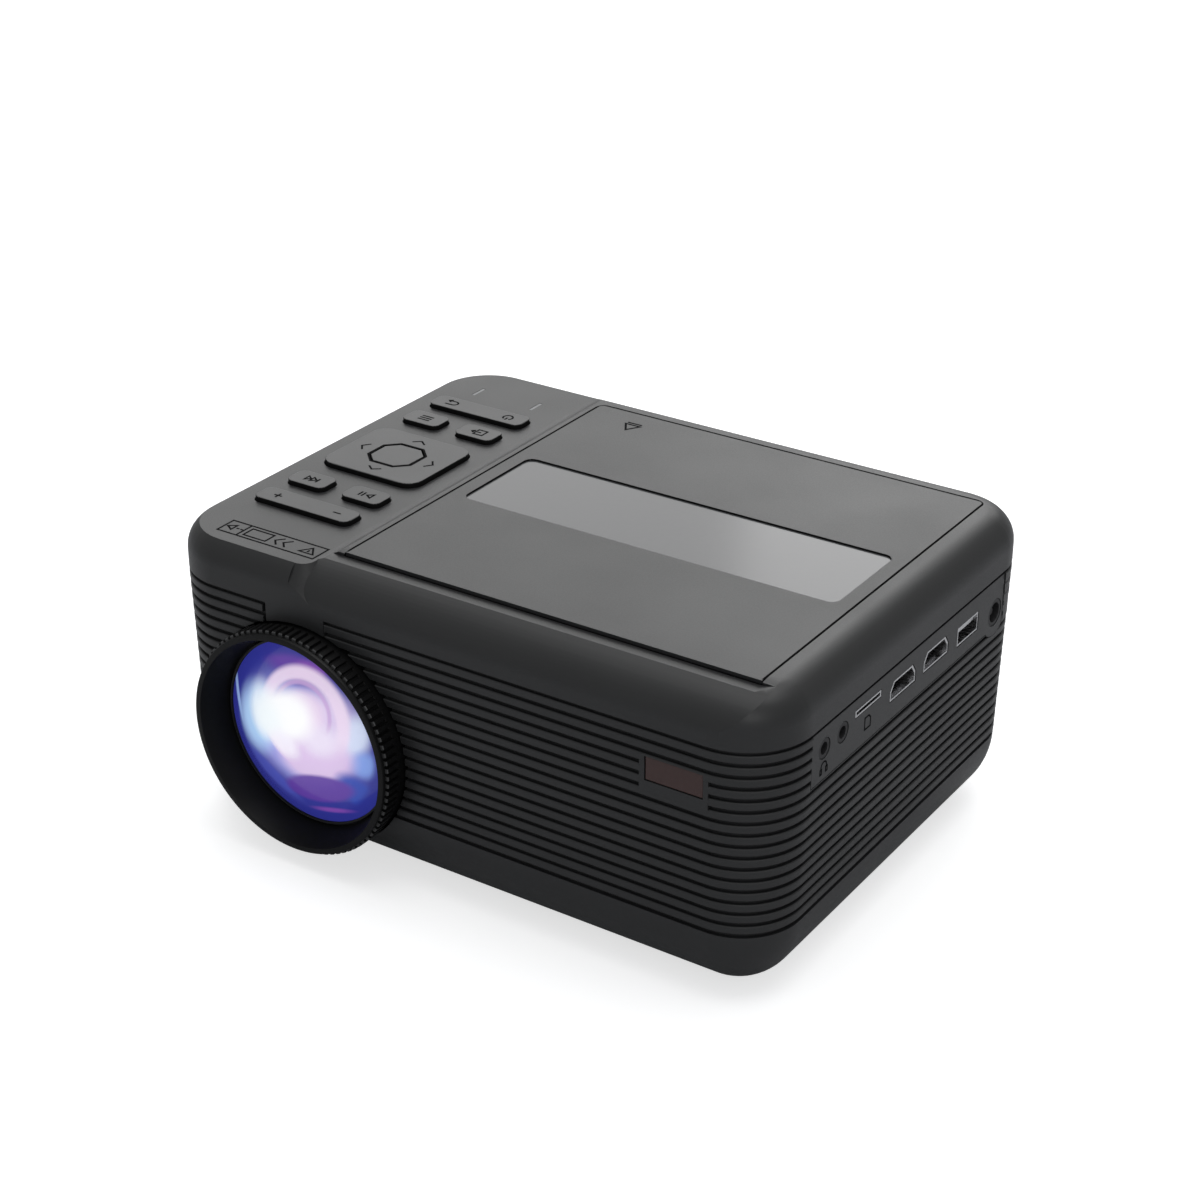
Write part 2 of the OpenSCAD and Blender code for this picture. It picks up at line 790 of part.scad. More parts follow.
module bottom_cover() {
  outer = [for (t = [0:6:90]) tray_point(t, 0)];
  inner = [for (t = [90:-6:0]) tray_point(t, cover_wall)];
  x_rim = corner_r - draft_total - groove_depth;
  floor_in = draft_total + bottom_round_in;
  color(shell_colour)
    difference() {
      union() {
        wrap_section()
          polygon(concat([[corner_r - cavity_inset, last_groove_z], [x_rim, last_groove_z],
                          [x_rim, last_groove_z - groove_w / 2]], outer, inner,
                         [[corner_r - cavity_inset, last_groove_z - groove_w / 2]]));
        case_slab(floor_in - 0.5, case_z, floor_z);
        for (p = post_xy)
          translate([p[0], p[1], case_z]) {
            translate([0, 0, 3.1])
              cylinder(r = post_r - 0.6, h = 2);
            translate([0, 0, 4.2])
              cylinder(r = post_r, h = post_join_z - case_z - 4.2);
          }
        for (p = board_post_xy)
          translate([p[0], p[1], floor_z - 0.5])
            cylinder(r = 3, h = main_board_z - floor_z + 0.5);
        translate([tripod_xy[0], tripod_xy[1], case_z])
          cylinder(r = tripod_nut_r + 2.5, h = tripod_nut_h + 2);
        // cradle under the light engine
        for (x = [axis_x - 30, axis_x + 30], y = [tray_y0 + 12, tray_y1 - 14])
          translate([x, y, floor_z - 0.5])
            cylinder(r = 4, h = tray_z0 - floor_z + 0.5);
      }
      lens_bore(lens_hole_r, face_y - 1, face_y + 16);
      for (p = post_xy)
        translate([p[0], p[1], case_z - 1]) {
          cylinder(r = head_r + 0.2, h = head_seat_z - case_z + 1);
          cylinder(r = screw_r + 0.3, h = post_join_z);
        }
      for (p = foot_xy)
        translate([p[0], p[1], case_z - 1])
          cylinder(r = foot_r + 0.15, h = 1 + foot_seat);
      translate([tripod_xy[0], tripod_xy[1], case_z - 1])
        cylinder(r = tripod_nut_r + 0.02, h = tripod_nut_h + 1);
      // sound holes under the speaker
      for (ring = [0:3], k = [0:max(0, ring * 6 - 1)])
        translate([speaker_xy[0], speaker_xy[1], case_z - 1])
          rotate([0, 0, ring == 0 ? 0 : k * 60 / ring])
            translate([ring * 4.2, 0, 0])
              cylinder(r = 1.1, h = floor_t + 2);
    }
}

module rubber_feet() {
  color(dark_colour)
    for (p = foot_xy)
      translate([p[0], p[1], 0]) {
        cylinder(r = foot_r - 0.6, h = 0.6);
        translate([0, 0, 0.6])
          cylinder(r = foot_r, h = foot_h - 0.6 + foot_seat);
      }
}

module case_screws() {
  color(metal_colour)
    for (p = post_xy)
      translate([p[0], p[1], head_seat_z - 2.2])
        difference() {
          union() {
            cylinder(r = head_r, h = 2.2);
            cylinder(r = screw_r, h = post_join_z - head_seat_z + 12);
          }
          for (a = [0, 90])
            rotate([0, 0, a])
              translate([-1.3, -0.3, -1])
                cube([2.6, 0.6, 2]);
        }
}

module tripod_nut() {
  color("#b5964a")
    translate([tripod_xy[0], tripod_xy[1], case_z + 0.3])
      difference() {
        cylinder(r = tripod_nut_r, h = tripod_nut_h - 0.3);
        translate([0, 0, -1])
          cylinder(r = tripod_r, h = tripod_nut_h);
      }
}

// ---------------------------------------------------------------- sockets and window

// D-shaped outline of a video socket, narrower at the top, in the YZ plane
module video_outline(grow) {
  w = video_w / 2 + grow;
  h = video_h / 2 + grow;
  polygon([[-w, -h], [w, -h], [w, h - 2.6], [w - 1.9, h], [-w + 1.9, h], [-w, h - 2.6]]);
}

module at_port(yz) {
  translate([0, yz[0], yz[1]])
    children();
}

module port_panel() {
  color(shell_colour)
    difference() {
      along_x(port_face_x - port_t, port_face_x)
        port_outline(0);
      for (p = [headphone_yz, av_yz])
        at_port(p)
          cylinder_x(jack_collar_r + hole_gap, port_face_x - 5, port_face_x + 1);
      at_port(power_yz)
        cylinder_x(power_collar_r + hole_gap, port_face_x - 5, port_face_x + 1);
      for (p = [video_1_yz, video_2_yz])
        at_port(p)
          along_x(port_face_x - 5, port_face_x + 1)
            video_outline(hole_gap);
      at_port(usb_yz)
        along_x(port_face_x - 5, port_face_x + 1)
          square([usb_w + 2 * hole_gap, usb_h + 2 * hole_gap], center = true);
      at_port(card_yz)
        along_x(port_face_x - 5, port_face_x + 1)
          square([card_w + 2 * hole_gap, 2 + 2 * hole_gap], center = true);
    }
}

// Round jack with a square body on the board
module round_jack(yz, collar, bore, body_w, z0, pin) {
  back = socket_face_x - socket_l;
  difference() {
    union() {
      at_port(yz)
        cylinder_x(collar, socket_face_x - 4, socket_face_x);
      box([back, yz[0] - body_w / 2, z0], [socket_face_x - 3.2, yz[0] + body_w / 2, yz[1] + collar]);
    }
    at_port(yz)
      cylinder_x(bore, back + 1, socket_face_x + 1);
  }
  if (pin > 0)
    at_port(yz)
      cylinder_x(pin, back + 0.5, socket_face_x - 1);
}

module headphone_socket() {
  color(dark_colour)
    round_jack(headphone_yz, jack_collar_r, jack_r, 6.4, main_board_z + board_t, 0);
}

module av_socket() {
  color(dark_colour)
    round_jack(av_yz, jack_collar_r, jack_r, 6.4, main_board_z + board_t, 0);
}

module power_socket() {
  color(dark_colour)
    round_jack(power_yz, power_collar_r, power_r, power_body_w, power_yz[1] - power_collar_r, 1);
}

module video_socket(yz) {
  back = socket_face_x - socket_l;
  color(metal_colour) {
    difference() {
      at_port(yz)
        along_x(back, socket_face_x)
          video_outline(0);
      at_port(yz)
        along_x(back + 1, socket_face_x + 1)
          video_outline(-shell_t);
    }
    at_port(yz)
      translate([back + 0.5, -video_w / 2 + 2.4, -0.75])
        cube([socket_l - 3, video_w - 4.8, 1.5]);
    box([back + 1, yz[0] - video_w / 2 + 1, main_board_z + board_t],
        [socket_face_x - 4, yz[0] + video_w / 2 - 1, yz[1] - video_h / 2 + 0.2]);
  }
}

module video_socket_1() {
  video_socket(video_1_yz);
}

module video_socket_2() {
  video_socket(video_2_yz);
}

module usb_socket() {
  back = socket_face_x - socket_l;
  color(metal_colour)
    at_port(usb_yz) {
      difference() {
        box([back, -usb_w / 2, -usb_h / 2], [socket_face_x, usb_w / 2, usb_h / 2]);
        box([back + 1, -usb_w / 2 + shell_t, -usb_h / 2 + shell_t],
            [socket_face_x + 1, usb_w / 2 - shell_t, usb_h / 2 - shell_t]);
      }
      box([back + 0.5, -5.6, 0.3], [socket_face_x - 1, 5.6, 2.1]);
    }
}

module card_slot() {
  back = socket_face_x - socket_l;
  color(metal_colour) {
    difference() {
      at_port(card_yz)
        box([back, -card_w / 2, -1], [socket_face_x + 0.1, card_w / 2, 1]);
      at_port(card_yz)
        box([back + 2, -card_w / 2 + 0.6, -0.5], [socket_face_x + 1, card_w / 2 - 0.6, 0.5]);
    }
    for (s = [-1, 1])
      box([back + 1, card_yz[0] + s * 5 - 1, main_board_z + board_t],
          [socket_face_x - 5, card_yz[0] + s * 5 + 1, card_yz[1] - 0.9]);
  }
}

module ir_window() {
  color("#5a2a24")
    union() {
      box([ir_x - ir_w / 2, face_y + 0.55, ir_z - ir_h / 2],
          [ir_x + ir_w / 2, inner_front_y + 0.5, ir_z + ir_h / 2]);
      box([ir_x - ir_w / 2 - 0.5, inner_front_y, ir_z - ir_h / 2 - 1.5],
          [ir_x + ir_w / 2 + 0.5, inner_front_y + 1, ir_z + ir_h / 2 + 1.5]);
    }
}

module ir_receiver() {
  color(dark_colour)
    translate([ir_x, inner_front_y + 1, ir_z]) {
      box([-3.5, 0, -4.5], [3.5, 3, 4]);
      translate([0, 3, 0.4])
        sphere(r = 2.4);
      box([-5, 2.6, -6], [5, 4.2, 6]);
    }
}

module main_board() {
  color(board_colour)
    difference() {
      box([main_board_x[0], main_board_y[0], main_board_z],
          [main_board_x[1], main_board_y[1], main_board_z + board_t]);
      translate([socket_face_x - socket_l - slip, power_yz[0] - power_body_w / 2 - slip, main_board_z - 1])
        cube([socket_l, power_body_w + 2 * slip, board_t + 2]);
    }
}

module board_parts() {
  x = main_board_x[0];
  y = main_board_y[0];
  z = main_board_z + board_t;
  chip = [16, 16, 1.4];
  chip_at = [x + 6, y + 39.5, z];
  fins = 6;
  fin_pitch = 2.8;
  color(dark_colour) {
    box(chip_at, chip_at + chip);
    box([x + 7, y + 69.5, z], [x + 19, y + 78.5, z + 1.1]);
    box([x + 6, y + 15.5, z], [x + 16, y + 25.5, z + 1.2]);
    for (k = [0:3])
      translate([x + 8 + 5.5 * k, y + 89.5, z])
        cylinder(r = 2.2, h = 5.5);
    for (k = [0:2])
      translate([x + 12 + 5 * k, y + 7.5, z])
        cube([3, 3, 2]);
  }
  color(metal_colour) {
    translate([chip_at[0], chip_at[1], z + chip[2]])
      cube([chip[0], chip[1], 0.8]);
    for (k = [0:fins - 1])
      translate([chip_at[0], chip_at[1] + 0.4 + fin_pitch * k, z + chip[2]])
        cube([chip[0], 1, 4.6]);
  }
}

module speaker() {
  color(dark_colour)
    translate([speaker_xy[0], speaker_xy[1], floor_z])
      difference() {
        union() {
          cylinder(r = speaker_r, h = 2.5);
          translate([0, 0, 2.5])
            cylinder(r1 = speaker_r - 3, r2 = 12, h = 6);
          translate([0, 0, 8.5])
            cylinder(r = 12, h = speaker_h - 8.5);
        }
        translate([0, 0, -1])
          cylinder(r = speaker_r - 4, h = 2.2);
      }
}

// ---------------------------------------------------------------- lid

// Side view of a goose-neck, hinge axis at the origin, x towards the back
module goose_neck_profile() {
  circle(knuckle_r);
  rotate(-neck_angle)
    translate([0, -2])
      square([(neck_in + neck_out) / 2, 4]);
  intersection() {
    difference() {
      circle(neck_out);
      circle(neck_in);
    }
    polygon([[0, 0], [30 * cos(neck_angle + 5), -30 * sin(neck_angle + 5)], [40, -20], [40, 20],
             [lid_z - hinge_z + 12, lid_z - hinge_z + 0.2], [0, lid_z - hinge_z + 0.2]]);
  }
}

module disc_lid() {
  color(shell_colour)
    difference() {
      union() {
        difference() {
          translate([0, 0, lid_z])
            linear_extrude(lid_t)
              lid_outline(0);
          // undercut front edge, so that it clears the cover as it swings
          rotate([90, 0, 90])
            linear_extrude(body_w, center = true)
              polygon([[lid_y0 - 1, lid_z - 1], [lid_y0 - 1, top_z - lid_front_edge_t],
                       [lid_y0, top_z - lid_front_edge_t], [lid_y0 + 2.2, lid_z],
                       [lid_y0 + 2.2, lid_z - 1]]);
        }
        for (x = hinge_x)
          translate([x, hinge_y, hinge_z])
            rotate([90, 0, 90])
              linear_extrude(knuckle_w, center = true)
                goose_neck_profile();
        translate([latch_x, latch_y, latch_post_z])
          cylinder(r = latch_post_r, h = lid_z - latch_post_z + 0.5);
      }
      for (x = hinge_x)
        translate([x, hinge_y, hinge_z])
          cylinder_x(hinge_pin_r + pin_play, -knuckle_w, knuckle_w);
      translate([lid_cx, window_cy, window_z])
        linear_extrude(lid_t)
          rounded_rect(window_w, window_d, 3);
      translate([lid_cx, window_cy, lid_z - 1])
        linear_extrude(lid_t)
          rounded_rect(window_w - 2 * window_ledge, window_d - 2 * window_ledge, 1.5);
    }
}

module lid_window() {
  color([0.42, 0.43, 0.45, 0.55])
    translate([lid_cx, window_cy, window_z])
      linear_extrude(window_t)
        rounded_rect(window_w - 0.2, window_d - 0.2, 2.9);
}

module lid_hinge_pins() {
  color(metal_colour)
    for (x = hinge_x)
      translate([x, hinge_y, hinge_z])
        cylinder_x(hinge_pin_r, -knuckle_w / 2 - lug_gap - lug_t, knuckle_w / 2 + lug_gap + lug_t);
}

module lid_latch() {
  z1 = latch_post_z - 0.3;
  color("#d8d8d4")
    translate([latch_x, latch_y, 0]) {
      translate([0, 0, z1 - latch_h])
        cylinder(r = latch_r, h = latch_h - 0.6);
      translate([0, 0, z1 - 0.6 - eps])
        cylinder(r1 = latch_r, r2 = latch_r - 0.5, h = 0.6 + eps);
    }
}

// ---------------------------------------------------------------- disc well and drive

module disc_deck() {
  x0 = lid_x0 - 3.8;
  x1 = body_w / 2 - 8.8;
  y0 = lid_y0 - 0.8;
  y1 = back_y - 7.6;
  r = 9;
  tube_z = latch_post_z - 0.3 - latch_h - latch_travel - 0.5;
  color(dark_colour) {
    for (i = [1, 3])
      upper_post(post_xy[i], deck_z - deck_t + 0.5);
    difference() {
      union() {
        translate([0, 0, deck_z - deck_t])
          linear_extrude(deck_t) {
            translate([x0, y0])
              square([x1 - x0, y1 - y0 - r]);
            translate([x0 + r, y0])
              square([x1 - x0 - 2 * r, y1 - y0]);
            for (x = [x0 + r, x1 - r])
              translate([x, y1 - r])
                circle(r);
          }
        translate([hub_x, hub_y, well_floor_z - deck_t])
          cylinder(r = well_r + well_wall, h = well_depth + deck_t);
        translate([latch_x, latch_y, tube_z - 1.2])
          cylinder(r = latch_r + 2, h = deck_z - tube_z + 1.2);
        for (p = grommet_xy)
          translate([p[0], p[1], chassis_z - 2])
            cylinder(r = grommet_bore - 0.1, h = (p[1] > hub_y ? deck_z : well_floor_z) - chassis_z + 1);
      }
      translate([hub_x, hub_y, well_floor_z])
        cylinder(r = well_r, h = well_depth + 1);
      translate([hub_x, hub_y, well_floor_z - deck_t - 1])
        cylinder(r = turntable_r + 2, h = deck_t + 2);
      // slot that the pickup lens looks through
      translate([hub_x, 0, well_floor_z - deck_t - 1])
        linear_extrude(deck_t + 2) {
          translate([-slot_w / 2, hub_y])
            square([slot_w, well_r - slot_w / 2 - 0.6]);
          translate([0, hub_y + well_r - slot_w / 2 - 0.6])
            circle(slot_w / 2 - eps);
        }
      // finger hollows at the rim of the well
      for (s = [-1, 1])
        translate([hub_x + s * (well_r - 2.8), hub_y, well_floor_z + 2])
          cylinder(r = 4, h = well_depth);
      for (x = hinge_x)
        box([x - 7.5, y0 - 1, deck_z - deck_t - 1], [x + 7.5, hinge_y + neck_out + 4.4, deck_z + 1]);
      translate([latch_x, latch_y, tube_z])
        cylinder(r = latch_r + 0.3, h = deck_z - tube_z + 1);
    }
  }
}

module drive_chassis() {
  z1 = chassis_z + chassis_t;
  color(metal_colour)
    difference() {
      union() {
        box([chassis_x[0], chassis_y[0], chassis_z], [chassis_x[1], chassis_y[1], z1]);
        for (x = rod_x, y = [rod_y[0], rod_y[1] - tab_t])
          box([x - 3, y, z1 - eps], [x + 3, y + tab_t, z1 + tab_h]);
        for (y = [rod_y[0], rod_y[1] - tab_t])
          box([screw_x - 3.5, y, z1 - eps], [screw_x + 3.5, y + tab_t, z1 + tab_h]);
      }
      // opening under the sled
      box([rod_x[0] + 5, rod_y[0] + 5, chassis_z - 1], [rod_x[1] - 5, rod_y[1] - 5, z1 + eps]);
      for (x = rod_x)
        translate([x, 0, rod_z])
          cylinder_y(rod_r + 0.02, rod_y[0] - 1, rod_y[1] + 1);
      translate([screw_x, 0, rod_z])
        cylinder_y(lead_r + pin_play, rod_y[0] - 1, rod_y[1] + 1);
      for (p = grommet_xy)
        translate([p[0], p[1], chassis_z - 1])
          cylinder(r = 3.5, h = chassis_t + 2);
    }
}

module chassis_grommets() {
  color(dark_colour)
    for (p = grommet_xy)
      translate([p[0], p[1], chassis_z])
        difference() {
          union() {
            translate([0, 0, -1.6])
              cylinder(r = grommet_r, h = 1.6);
            cylinder(r = 3.4, h = chassis_t);
            translate([0, 0, chassis_t])
              cylinder(r = grommet_r, h = 1.6);
          }
          translate([0, 0, -3])
            cylinder(r = grommet_bore, h = 8);
        }
}

module spindle_motor() {
  z0 = chassis_z + chassis_t;
  color(metal_colour)
    translate([hub_x, hub_y, z0])
      difference() {
        union() {
          cylinder(r = motor_r, h = motor_h - 1.5);
          cylinder(r = 4, h = motor_h);
        }
        translate([0, 0, 2])
          cylinder(r = spindle_r + 0.05, h = motor_h);
      }
}

module disc_hub() {
  color(dark_colour)
    translate([hub_x, hub_y, 0])
      difference() {
        union() {
          translate([0, 0, turntable_z])
            cylinder(r = turntable_r, h = turntable_t);
          translate([0, 0, turntable_z + turntable_t])
            cylinder(r = hub_r, h = hub_h - 0.8);
          translate([0, 0, turntable_z + turntable_t + hub_h - 0.8])
            cylinder(r1 = hub_r, r2 = hub_r - 1.2, h = 0.8);
          translate([0, 0, chassis_z + chassis_t + 2.5])
            cylinder(r = spindle_r, h = turntable_z - chassis_z - chassis_t);
        }
        // three spring claws cut into the hub's crown
        for (a = [90, 210, 330])
          rotate([0, 0, a])
            for (s = [-1, 1])
              translate([3, s * 1.8 - 0.25, turntable_z + turntable_t + 1.6])
                cube([3.4, 0.5, hub_h]);
      }
}

module pickup_sled() {
  z0 = chassis_z + chassis_t + 0.6;
  color(dark_colour)
    difference() {
      union() {
        box([rod_x[0] - 3, sled_y0, z0], [rod_x[1] + 3, sled_y0 + sled_l, z0 + 5]);
        box([rod_x[1] + 2, sled_y0 + 4, z0 + 0.4], [screw_x + 3, sled_y0 + sled_l - 4, z0 + 4.6]);
      }
      for (x = rod_x)
        translate([x, 0, rod_z])
          cylinder_y(rod_r + pin_play, sled_y0 - 1, sled_y0 + sled_l + 1);
      translate([screw_x, 0, rod_z])
        cylinder_y(lead_r + 0.3, sled_y0, sled_y0 + sled_l);
      translate([hub_x, sled_y0 + sled_l / 2, z0 + 1.5])
        cylinder(r = 4.6, h = 6);
    }
}

module pickup_lens() {
  z0 = chassis_z + chassis_t + 0.6 + 1.5 + 0.6;
  color("#3a4a66")
    translate([hub_x, sled_y0 + sled_l / 2, z0]) {
      cylinder(r = 4.3, h = 3.4);
      translate([0, 0, 3.4 - eps])
        cylinder(r1 = 3.4, r2 = 2.6, h = 1.3);
    }
}

module guide_rods() {
  color(metal_colour)
    for (x = rod_x)
      translate([x, 0, rod_z])
        cylinder_y(rod_r, rod_y[0], rod_y[1]);
}

module lead_screw() {
  color(metal_colour)
    translate([screw_x, 0, rod_z])
      difference() {
        cylinder_y(lead_r, rod_y[0] - 1, rod_y[1]);
        for (k = [0:3])
          cylinder_y_ring(lead_r, rod_y[0] + 6 + 10 * k);
      }
}

// Shallow groove round a shaft along Y
module cylinder_y_ring(r, y) {
  difference() {
    cylinder_y(r + 1, y, y + 0.8);
    cylinder_y(r - 0.25, y - 1, y + 2);
  }
}

module sled_motor() {
  z1 = chassis_z + chassis_t;
  color(metal_colour)
    translate([screw_x, 0, rod_z]) {
      cylinder_y(sled_motor_r, rod_y[0] - sled_motor_l, rod_y[0] - 1.3);
      box([-sled_motor_r, rod_y[0] - sled_motor_l, z1 - rod_z], [sled_motor_r, rod_y[0] - 1.3, 0]);
    }
}

// ---------------------------------------------------------------- keys

// Rocker key on an axle across its middle
module rocker(y) {
  bearing = rocker_d / 2 + rocker_play + 0.6 + lug_w;
  color(key_colour)
    translate([key_cx, y, 0]) {
      key_plate(rocker_w, rocker_d, key_r, skin_z - 1.4, key_top);
      translate([-2, -rocker_d / 2, rocker_axle_z - 1.2])
        cube([4, rocker_d, 3]);
      translate([0, 0, rocker_axle_z])
        cylinder_y(rocker_axle_r, -bearing, bearing);
      for (s = [-1, 1])
        translate([s * 12, 0, stem_z])
          cylinder(r = stem_r, h = skin_z - 1 - stem_z);
    }
}

module power_rocker() {
  rocker(key_cy + row_rocker);
}

module volume_rocker() {
  rocker(key_cy - row_rocker);
}

module small_key(x, y) {
  color(key_colour)
    translate([x, y, 0]) {
      key_plate(key_w, key_d, key_r, key_flange_z + key_flange_t - eps, key_top);
      key_plate(key_w + 2 * key_flange + 2 * key_gap, key_d + 2 * key_flange + 2 * key_gap, key_r,
                key_flange_z, key_flange_z + key_flange_t);
      translate([0, 0, stem_z])
        cylinder(r = stem_r, h = key_flange_z - stem_z + 0.5);
    }
}

module menu_button() {
  small_key(key_cx - key_dx, key_cy + row_small);
}

module source_button() {
  small_key(key_cx + key_dx, key_cy + row_small);
}

module previous_button() {
  small_key(key_cx - key_dx, key_cy - row_small);
}

module play_button() {
  small_key(key_cx + key_dx, key_cy - row_small);
}

// Rectangle with cut corners
module ok_outline(grow) {
  w = ok_w / 2 + grow;
  d = ok_d / 2 + grow;
  c = ok_cut;
  polygon([[-w, -d + c], [-w + c, -d], [w - c, -d], [w, -d + c],
           [w, d - c], [w - c, d], [-w + c, d], [-w, d - c]]);
}

module direction_pad() {
  z0 = skin_z - 0.7;
  color(key_colour)
    translate([key_cx, key_cy, 0])
      difference() {
        union() {
          key_plate(pad_w, pad_d, pad_r, z0, key_top);
          for (s = [-1, 1])
            translate([-2, s * (pad_d / 2 - 1) - 0.8, gimbal_z - 2])
              cube([4, 1.6, z0 - gimbal_z + 2.1]);
        }
        translate([0, 0, z0 - 1])
          linear_extrude(key_top - z0 + 2)
            ok_outline(0.5);
        translate([0, 0, gimbal_z])
          cylinder_y(axle_r + pin_play, -pad_d, pad_d);
      }
}

module pad_pivot() {
  reach = pad_w / 2 + pad_play + 0.6 + lug_w;
  color(dark_colour)
    translate([key_cx, key_cy, gimbal_z])
      difference() {
        union() {
          translate([0, 0, -axle_r])
            cylinder(r = gimbal_r, h = 2 * axle_r);
          cylinder_x(axle_r, -reach, reach);
          cylinder_y(axle_r, -pad_d / 2 + 0.2, pad_d / 2 - 0.2);
        }
        translate([0, 0, -5])
          cylinder(r = gimbal_in, h = 10);
      }
}

module ok_button() {
  z0 = skin_z + 0.2;
  color(key_colour)
    translate([key_cx, key_cy, 0]) {
      translate([0, 0, z0])
        linear_extrude(key_top - z0)
          ok_outline(0);
      translate([0, 0, stem_z])
        cylinder(r = ok_stem_r, h = z0 - stem_z + 0.5);
    }
}

module indicator_lights() {
  color("#c9d4dc")
    for (s = [-1, 1])
      translate([key_cx + s * light_dx, light_y, 0]) {
        translate([-light_w / 2, -light_l / 2, skin_z - 2])
          cube([light_w, light_l, panel_z - skin_z + 2 - 0.05]);
        translate([-1.5, -light_l / 2 - 0.6, skin_z - 3])
          cube([3, light_l + 1.2, 3]);
        translate([-1, -1.5, key_board_z + board_t])
          cube([2, 3, skin_z - 2.5 - key_board_z - board_t]);
      }
}

module key_board() {
  color(board_colour)
    difference() {
      box([key_cx - 22, key_cy - 52.5, key_board_z], [key_cx + 24, key_cy + 62, key_board_z + board_t]);
      for (p = post_xy)
        translate([p[0], p[1], key_board_z - 1])
          cylinder(r = post_r + 0.6, h = board_t + 2);
    }
}

module key_switches() {
  z = key_board_z + board_t;
  s = switch_size;
  color(metal_colour) {
    for (t = [-1, 1]) {
      for (u = [-1, 1])
        translate([key_cx + u * 12 - s / 2, key_cy + t * row_rocker - s / 2, z])
          cube([s, s, switch_z - z]);
      for (u = [-1, 1])
        translate([key_cx + u * key_dx - s / 2, key_cy + t * row_small - s / 2, z])
          cube([s, s, switch_z - z]);
      translate([key_cx - s / 2 + t * 13, key_cy - s / 2, z])
        cube([s, s, switch_z - z - 1]);
      translate([key_cx - s / 2, key_cy - s / 2 + t * 11, z])
        cube([s, s, switch_z - z - 1]);
    }
    translate([key_cx, key_cy, z])
      difference() {
        cylinder(r = ok_stem_r + 1.5, h = switch_z - z + 2.4);
        translate([0, 0, switch_z - z])
          cylinder(r = ok_stem_r + 0.25, h = 5);
      }
  }
}

// ---------------------------------------------------------------- lens and light engine

// Toothed outline of the focus ring
function teeth(r) = [
  for (k = [0:tooth_count - 1])
    let (a = k * 360 / tooth_count, step = 360 / tooth_count)
      for (q = [[0, 0], [1 - tooth_gap, 0], [1 - tooth_gap + 0.03, 1], [1 - 0.03, 1]])
        (r - q[1] * tooth_depth) * [cos(a + q[0] * step), sin(a + q[0] * step)]
];

// Revolves an outline given as [radius, y] points round the lens axis
module revolve_y(points) {
  translate([axis_x, 0, axis_z])
    rotate([-90, 0, 0])
      rotate_extrude()
        polygon(points);
}

module focus_ring() {
  color(dark_colour) {
    revolve_y([
      [lip_r - lip_t, ring_front_y], [lip_r - 0.3, ring_front_y], [lip_r, ring_front_y + 0.3],
      [lip_r, teeth_y0 + eps], [sleeve_r - 0.4, teeth_y0 + eps], [sleeve_r - 0.4, teeth_y1],
      [sleeve_r, teeth_y1], [sleeve_r, ring_back_y], [mount_out + 0.3, ring_back_y],
      [mount_out + 0.3, funnel_y + 0.8], [funnel_r, funnel_y + 0.8], [funnel_r, funnel_y]
    ]);
    translate([axis_x, teeth_y1, axis_z])
      rotate([90, 0, 0])
        linear_extrude(teeth_y1 - teeth_y0)
          difference() {
            polygon(teeth(ring_r));
            circle(sleeve_r - 1.2);
          }
  }
}

// Lens with a domed front; the dome is part of a sphere
module domed_lens(r, sag, edge_y, edge_t) {
  ball = (r * r + sag * sag) / (2 * sag);
  translate([axis_x, edge_y, axis_z])
    rotate([-90, 0, 0])
      intersection() {
        translate([0, 0, ball - sag])
          sphere(r = ball, $fn = 128);
        translate([0, 0, -sag - 1])
          cylinder(r = r, h = sag + 1 + edge_t);
      }
}

module front_lens() {
  color([0.45, 0.5, 0.85, 0.6])
    domed_lens(glass_r, glass_sag, barrel_front_y + 0.6, glass_edge_t);
}

module lens_barrel() {
  y = barrel_front_y;
  color(dark_colour)
    revolve_y([
      [glass_r + 0.02, y], [barrel_r - 0.3, y], [barrel_r, y + 0.3], [barrel_r, barrel_step_y],
      [barrel_back_r, barrel_step_y], [barrel_back_r, barrel_back_y], [20.6, barrel_back_y],
      [20.6, barrel_back_y - 7], [19, barrel_back_y - 7], [19, barrel_step_y - 2],
      [27, barrel_step_y - 8], [27, y + 0.6 + glass_edge_t], [glass_r + 0.02, y + 0.6 + glass_edge_t]
    ]);
}

module rear_lens() {
  color([0.6, 0.65, 0.7, 0.5])
    translate([axis_x, barrel_back_y - 7, axis_z])
      rotate([-90, 0, 0])
        cylinder(r = 20.58, h = 5);
}

module lens_mount() {
  color(dark_colour)
    difference() {
      union() {
        lens_bore(mount_out, mount_front_y, flange_y + 1);
        box([axis_x - flange_w / 2, flange_y, axis_z - flange_w / 2],
            [axis_x + flange_w / 2, flange_y + flange_t, axis_z + flange_w / 2]);
      }
      lens_bore(mount_in, mount_front_y - 1, flange_y);
      lens_bore(barrel_back_r + 0.6, flange_y - 1, flange_y + flange_t + 1);
    }
}

// Half of the light engine's box: the tray is the lower half, the cover the upper
module optics_half(z0, z1, floor0, floor1) {
  x0 = axis_x - tray_w / 2;
  x1 = axis_x + tray_w / 2;
  w = optic_wall;
  difference() {
    union() {
      difference() {
        box([x0, tray_y0, z0], [x1, tray_y1, z1]);
        box([x0 + w, tray_y0 + w, floor0], [x1 - w, tray_y1 - w, floor1]);
      }
      box([x0 + 1, bulkhead_y, z0 + 0.1], [x1 - 1, bulkhead_y + 3, z1]);
      // rails that hold the flat plates
      for (y = rail_y, x = [x0 + w - eps, x1 - w - 1.5])
        box([x, y, z0 + 1], [x + 1.5 + eps, y + rail_t, z1]);
    }
    lens_bore(barrel_back_r + 0.8, tray_y0 - 1, tray_y0 + 5);
    lens_bore(condenser_r + 0.05, bulkhead_y - 1, bulkhead_y + 4);
    translate([axis_x, tray_y1, axis_z])
      cube([34, 10, 34], center = true);
  }
}

